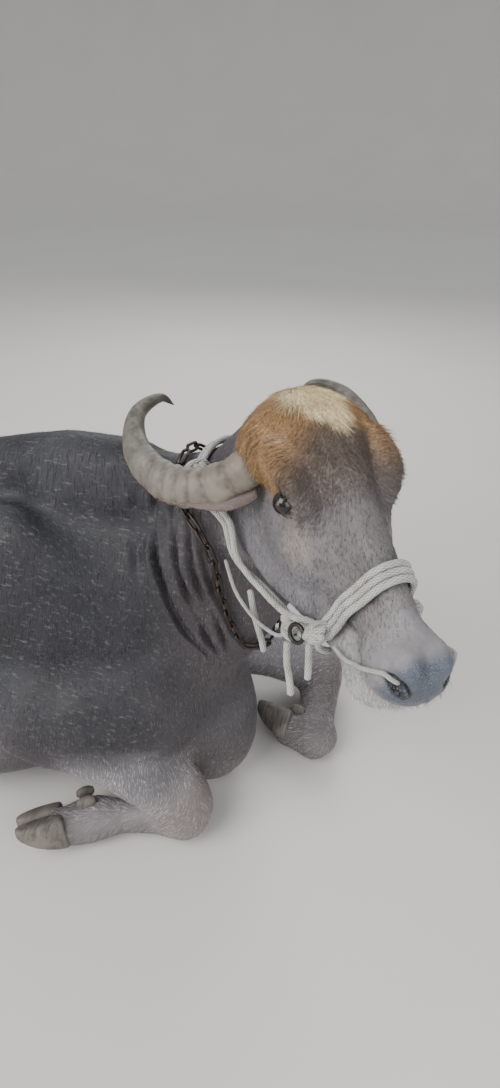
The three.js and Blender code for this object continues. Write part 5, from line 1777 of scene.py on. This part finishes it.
class BUFFALO_OT_hooves(Operator):
    """Makes the claws and dewclaws of all four feet"""

    bl_idname = "buffalo.hooves"
    bl_label = "Hooves"

    def execute(self, context):
        stations = [(-4, 26, 40, -38), (4, 29, 41, -41), (34, 30, 34, -43.5), (60, 28, 21, -44.5),
                    (80, 24, 8, -44.5), (97, 17, -8, -44), (105, 9, -20, -42)]
        material = finish("hoof", hoof_finish)
        for leg, ((origin, axes), back) in FEET.items():
            for part, side in (("outer", 1), ("inner", -1)):
                rings = []
                for x, half, top, sole in stations:
                    middle = side * (31.5 - max(x - 60, 0) * 0.08)
                    tall = top - sole
                    rings.append([
                        (x, middle - half * 0.9, sole), (x, middle, sole - 0.4),
                        (x, middle + half * 0.9, sole), (x, middle + half, sole + tall * 0.3),
                        (x, middle + half * 0.86, sole + tall * 0.66),
                        (x, middle + half * 0.45, sole + tall * 0.96), (x, middle, top),
                        (x, middle - half * 0.45, sole + tall * 0.96),
                        (x, middle - half * 0.86, sole + tall * 0.66),
                        (x, middle - half, sole + tall * 0.3)])
                points = np.array(rings).reshape(-1, 3)
                points, faces = close_ends(points, rings_to_faces(len(rings), 10), 10)
                self.add_claw(f"{leg}_{part}_claw", points @ axes + origin, faces, material)
                rings = []
                for share, size in ((-1, 0.5), (-0.6, 0.85), (-0.1, 1), (0.5, 0.85), (0.9, 0.45)):
                    angles = np.arange(8) * math.pi / 4
                    rings.append(np.column_stack([
                        np.full(8, back + 23 * share), 27 * side + 14.5 * size * np.cos(angles),
                        -50 + 16.5 * size * np.sin(angles)]))
                points, faces = close_ends(np.vstack(rings), rings_to_faces(5, 8), 8)
                self.add_claw(f"{leg}_{part}_dewclaw", points @ axes + origin, faces, material)
        return {"FINISHED"}

    def add_claw(self, name, points, faces, material):
        points = np.array(points)
        points[:, 2] = np.maximum(points[:, 2], 0.3)
        piece = make_piece(name + "_horn", points, faces, material, [name])
        turn_outward(piece.data)
        smoother = piece.modifiers.new("rounding", "SUBSURF")
        smoother.levels = smoother.render_levels = 2


class BUFFALO_OT_halter(Operator):
    """Lays the rope halter, its knots and the ring"""

    bl_idname = "buffalo.halter"
    bl_label = "Halter"

    def execute(self, context):
        tint = context.scene.buffalo_trim.rope
        r = ROPE_RADIUS
        band = on_skin(to_body(NOSEBAND), 60, r + 1)
        jaw = on_skin(to_body(JAW_STRAP), 40, r + 1)
        parts = [rope_mesh(path, r) for path in strand_offsets(band, (-2 * r, 0, 2 * r))]
        parts.append(rope_mesh(jaw, r))
        down = HEAD_TURN @ np.array([-0.3, 0, -1])
        for side in (-1, 1):
            centre = from_head([357, 82 * side, -154])
            parts += wound_knot(centre, (24, 18, 21), 3, 6.2, down,
                                HEAD_TURN @ np.array([0, side, 0]))
        cotton_piece("noseband_rope", parts, ["noseband"], tint)

        guides = to_body(mirror(CHEEK)) + NAPE + to_body(CHEEK[::-1])
        stall = on_skin(guides, 150, r + 1)
        parts = [rope_mesh(path, r) for path in strand_offsets(stall, (-r, r))]
        nape = settle(head_and_neck, [(250, -66, 930)], 19)[0]
        parts += wound_knot(nape, (25, 17, 17), 3, 6.5, (0.5, 0.75, 0.1), (-0.3, -0.3, 0.9))
        cotton_piece("headstall_rope", parts, ["headstall"], tint)

        centre = from_head([316, -92, -212])
        parts = wound_knot(centre, (20, 15, 17), 3, 6, HEAD_TURN @ np.array([1, 0, 0.1]),
                           HEAD_TURN @ np.array([0, -1, 0]))
        cotton_piece("ring_knot_rope", parts, ["ring_knot"], tint)

        for name, side in (("right", -1), ("left", 1)):
            guides = to_body([(384, 74 * side, -156), (420, 66 * side, -138), (457, 66 * side, -92),
                              (476, 57 * side, -70)])
            path = on_skin(guides, 24, THIN_ROPE_RADIUS + 1.2)
            path = np.vstack([path, from_head([(489, 49 * side, -72), (494, 40 * side, -76)])])
            part = rope_mesh(path, THIN_ROPE_RADIUS)
            cotton_piece(f"nose_rope_{name}_twist", [part], [f"nose_rope_{name}"], tint)

        centre = from_head([336, -102, -184])
        x = unit(HEAD_TURN @ np.array([0.5, -0.2, -0.85]))
        y = unit(np.cross(HEAD_TURN @ np.array([0.3, -0.93, 0.1]), x))
        angles = np.arange(48) * 2 * math.pi / 48
        circle = centre + RING_RADIUS * (np.cos(angles)[:, None] * x + np.sin(angles)[:, None] * y)
        points, faces = closed_wire(circle, RING_WIRE, 16)
        make_piece("cheek_ring_steel", points, faces, finish("steel", steel_finish),
                   ["cheek_ring"])
        return {"FINISHED"}


def closed_wire(path, radius, sides):
    """A round wire along a closed path."""
    side, rise = path_frames(path, (0.31, 0.2, 0.93), closed=True)
    angles = np.arange(sides) * 2 * math.pi / sides
    across, up = np.cos(angles)[None, :, None], np.sin(angles)[None, :, None]
    rings = path[:, None] + radius * (across * side[:, None] + up * rise[:, None])
    return rings.reshape(-1, 3), rings_to_faces(len(path), sides, closed=True)


class BUFFALO_OT_collar(Operator):
    """Hangs the chain round the neck, link by link"""

    bl_idname = "buffalo.collar"
    bl_label = "Chain collar"

    def execute(self, context):
        guides = COLLAR + mirror(COLLAR[1:-1])[::-1] + [COLLAR[0]]
        path = settle(flesh, even_path(guides, LINK_COUNT), LINK_WIDTH / 2 + 2, 4)[:-1]
        _, slope = slope_of(flesh, path)
        after = np.roll(path, -1, axis=0)
        middle, way = (path + after) / 2, after - path
        out = unit(slope)
        flat = unit(np.cross(way, out))
        turned = np.arange(LINK_COUNT) % 2 == 1
        rise = np.where(turned[:, None], flat, out)
        half = np.linalg.norm(way, axis=1).mean() / 2 + LINK_WIRE
        wide = LINK_WIDTH / 2 - LINK_WIRE
        angles = np.arange(28) * 2 * math.pi / 28
        oval = np.column_stack([
            (half - wide) * np.sign(np.cos(angles)) * (np.abs(np.cos(angles)) > 0.25)
            + wide * np.cos(angles), wide * np.sin(angles), np.zeros(28)])
        points, faces = closed_wire(oval, LINK_WIRE, 8)
        template = ((points * MM).tolist(), [], faces)
        material = finish("steel", steel_finish)
        mesh = set_copies("collar_links", template, middle, way, rise, np.ones((LINK_COUNT, 3)),
                          1.0, 0.0, 1, material)
        turn_outward(mesh)
        dress(mesh, "collar_links", material, ["chain_collar"])
        return {"FINISHED"}


class BUFFALO_OT_switch(Operator):
    """Spreads the switch of long hair at the end of the tail"""

    bl_idname = "buffalo.switch"
    bl_label = "Tail switch"

    def execute(self, context):
        draw = np.random.default_rng(51)
        count = 1500
        share = draw.uniform(0.80, 1.0, count) ** 0.8
        fine = even_path(TAIL_PATH, 200)
        forward = unit(np.gradient(fine, axis=0))
        at = np.round(share * 200).astype(int)
        way = forward[at] * (1, 1, 0)
        aside = np.cross((0, 0, 1), unit(way))
        slant = draw.normal(0, 0.26, (count, 1))
        rising = draw.uniform(-0.02, 0.10, (count, 1))
        way = unit(unit(way) + aside * slant + np.array([0, 0, 1]) * rising)
        roots = fine[at] + aside * draw.normal(0, 7, (count, 1))
        roots[:, 2] = np.clip(roots[:, 2] + draw.uniform(-9, 10, count), 4, 60)
        length = draw.uniform(95, 190, count) * (1.1 - 0.5 * (1 - share) / 0.2)
        stretch = np.column_stack([length, np.full(count, 4.2), np.full(count, 4.2)]) * MM
        template = tuft_template(6, 3, 1.6)
        material = finish("switch_hair", hair_finish, "switch_hair")
        rise = np.tile([0.0, 0.0, 1.0], (count, 1))
        mesh = set_copies("tail_switch", template, roots, way, rise, stretch, 1.0, 0.2, 51, material)
        points = mesh_points(mesh)
        points[:, 2] = np.maximum(points[:, 2], 1)
        move_points(mesh, points)
        colours = np.tile(linear((0.24, 0.21, 0.20)), (count, 1))
        colour_tufts(mesh, len(template[0]), roots, colours, draw)
        dress(mesh, "tail_switch_hair", material, ["tail_switch"])
        return {"FINISHED"}


OPERATORS = [
    BUFFALO_OT_stage, BUFFALO_OT_free_ends, BUFFALO_OT_skin, BUFFALO_OT_horns, BUFFALO_OT_ears,
    BUFFALO_OT_eyes, BUFFALO_OT_hooves, BUFFALO_OT_halter, BUFFALO_OT_collar, BUFFALO_OT_coat,
    BUFFALO_OT_switch,
]


class BUFFALO_PT_panel(Panel):
    """Lists the settings and the steps in order"""

    bl_label = "Lying buffalo"
    bl_idname = "BUFFALO_PT_panel"
    bl_space_type = "VIEW_3D"
    bl_region_type = "UI"
    bl_category = "Buffalo"

    def draw(self, context):
        for key in SETTINGS:
            box = self.layout.box()
            group = getattr(context.scene, key)
            for name in group.__annotations__:
                box.prop(group, name)
        for operator in OPERATORS:
            self.layout.operator(operator.bl_idname)


SETTINGS = {
    "buffalo_skin": SkinSettings,
    "buffalo_coat": CoatSettings,
    "buffalo_trim": TrimSettings,
    "buffalo_stage": StageSettings,
}
CLASSES = [*SETTINGS.values(), *OPERATORS, BUFFALO_PT_panel]


def register():
    for cls in CLASSES:
        bpy.utils.register_class(cls)
    for key, group in SETTINGS.items():
        setattr(bpy.types.Scene, key, PointerProperty(type=group))


def unregister():
    for key in SETTINGS:
        delattr(bpy.types.Scene, key)
    for cls in reversed(CLASSES):
        bpy.utils.unregister_class(cls)


def main():
    register()
    for operator in OPERATORS:
        area, name = operator.bl_idname.split(".")
        getattr(getattr(bpy.ops, area), name)()


if __name__ == "__main__":
    main()
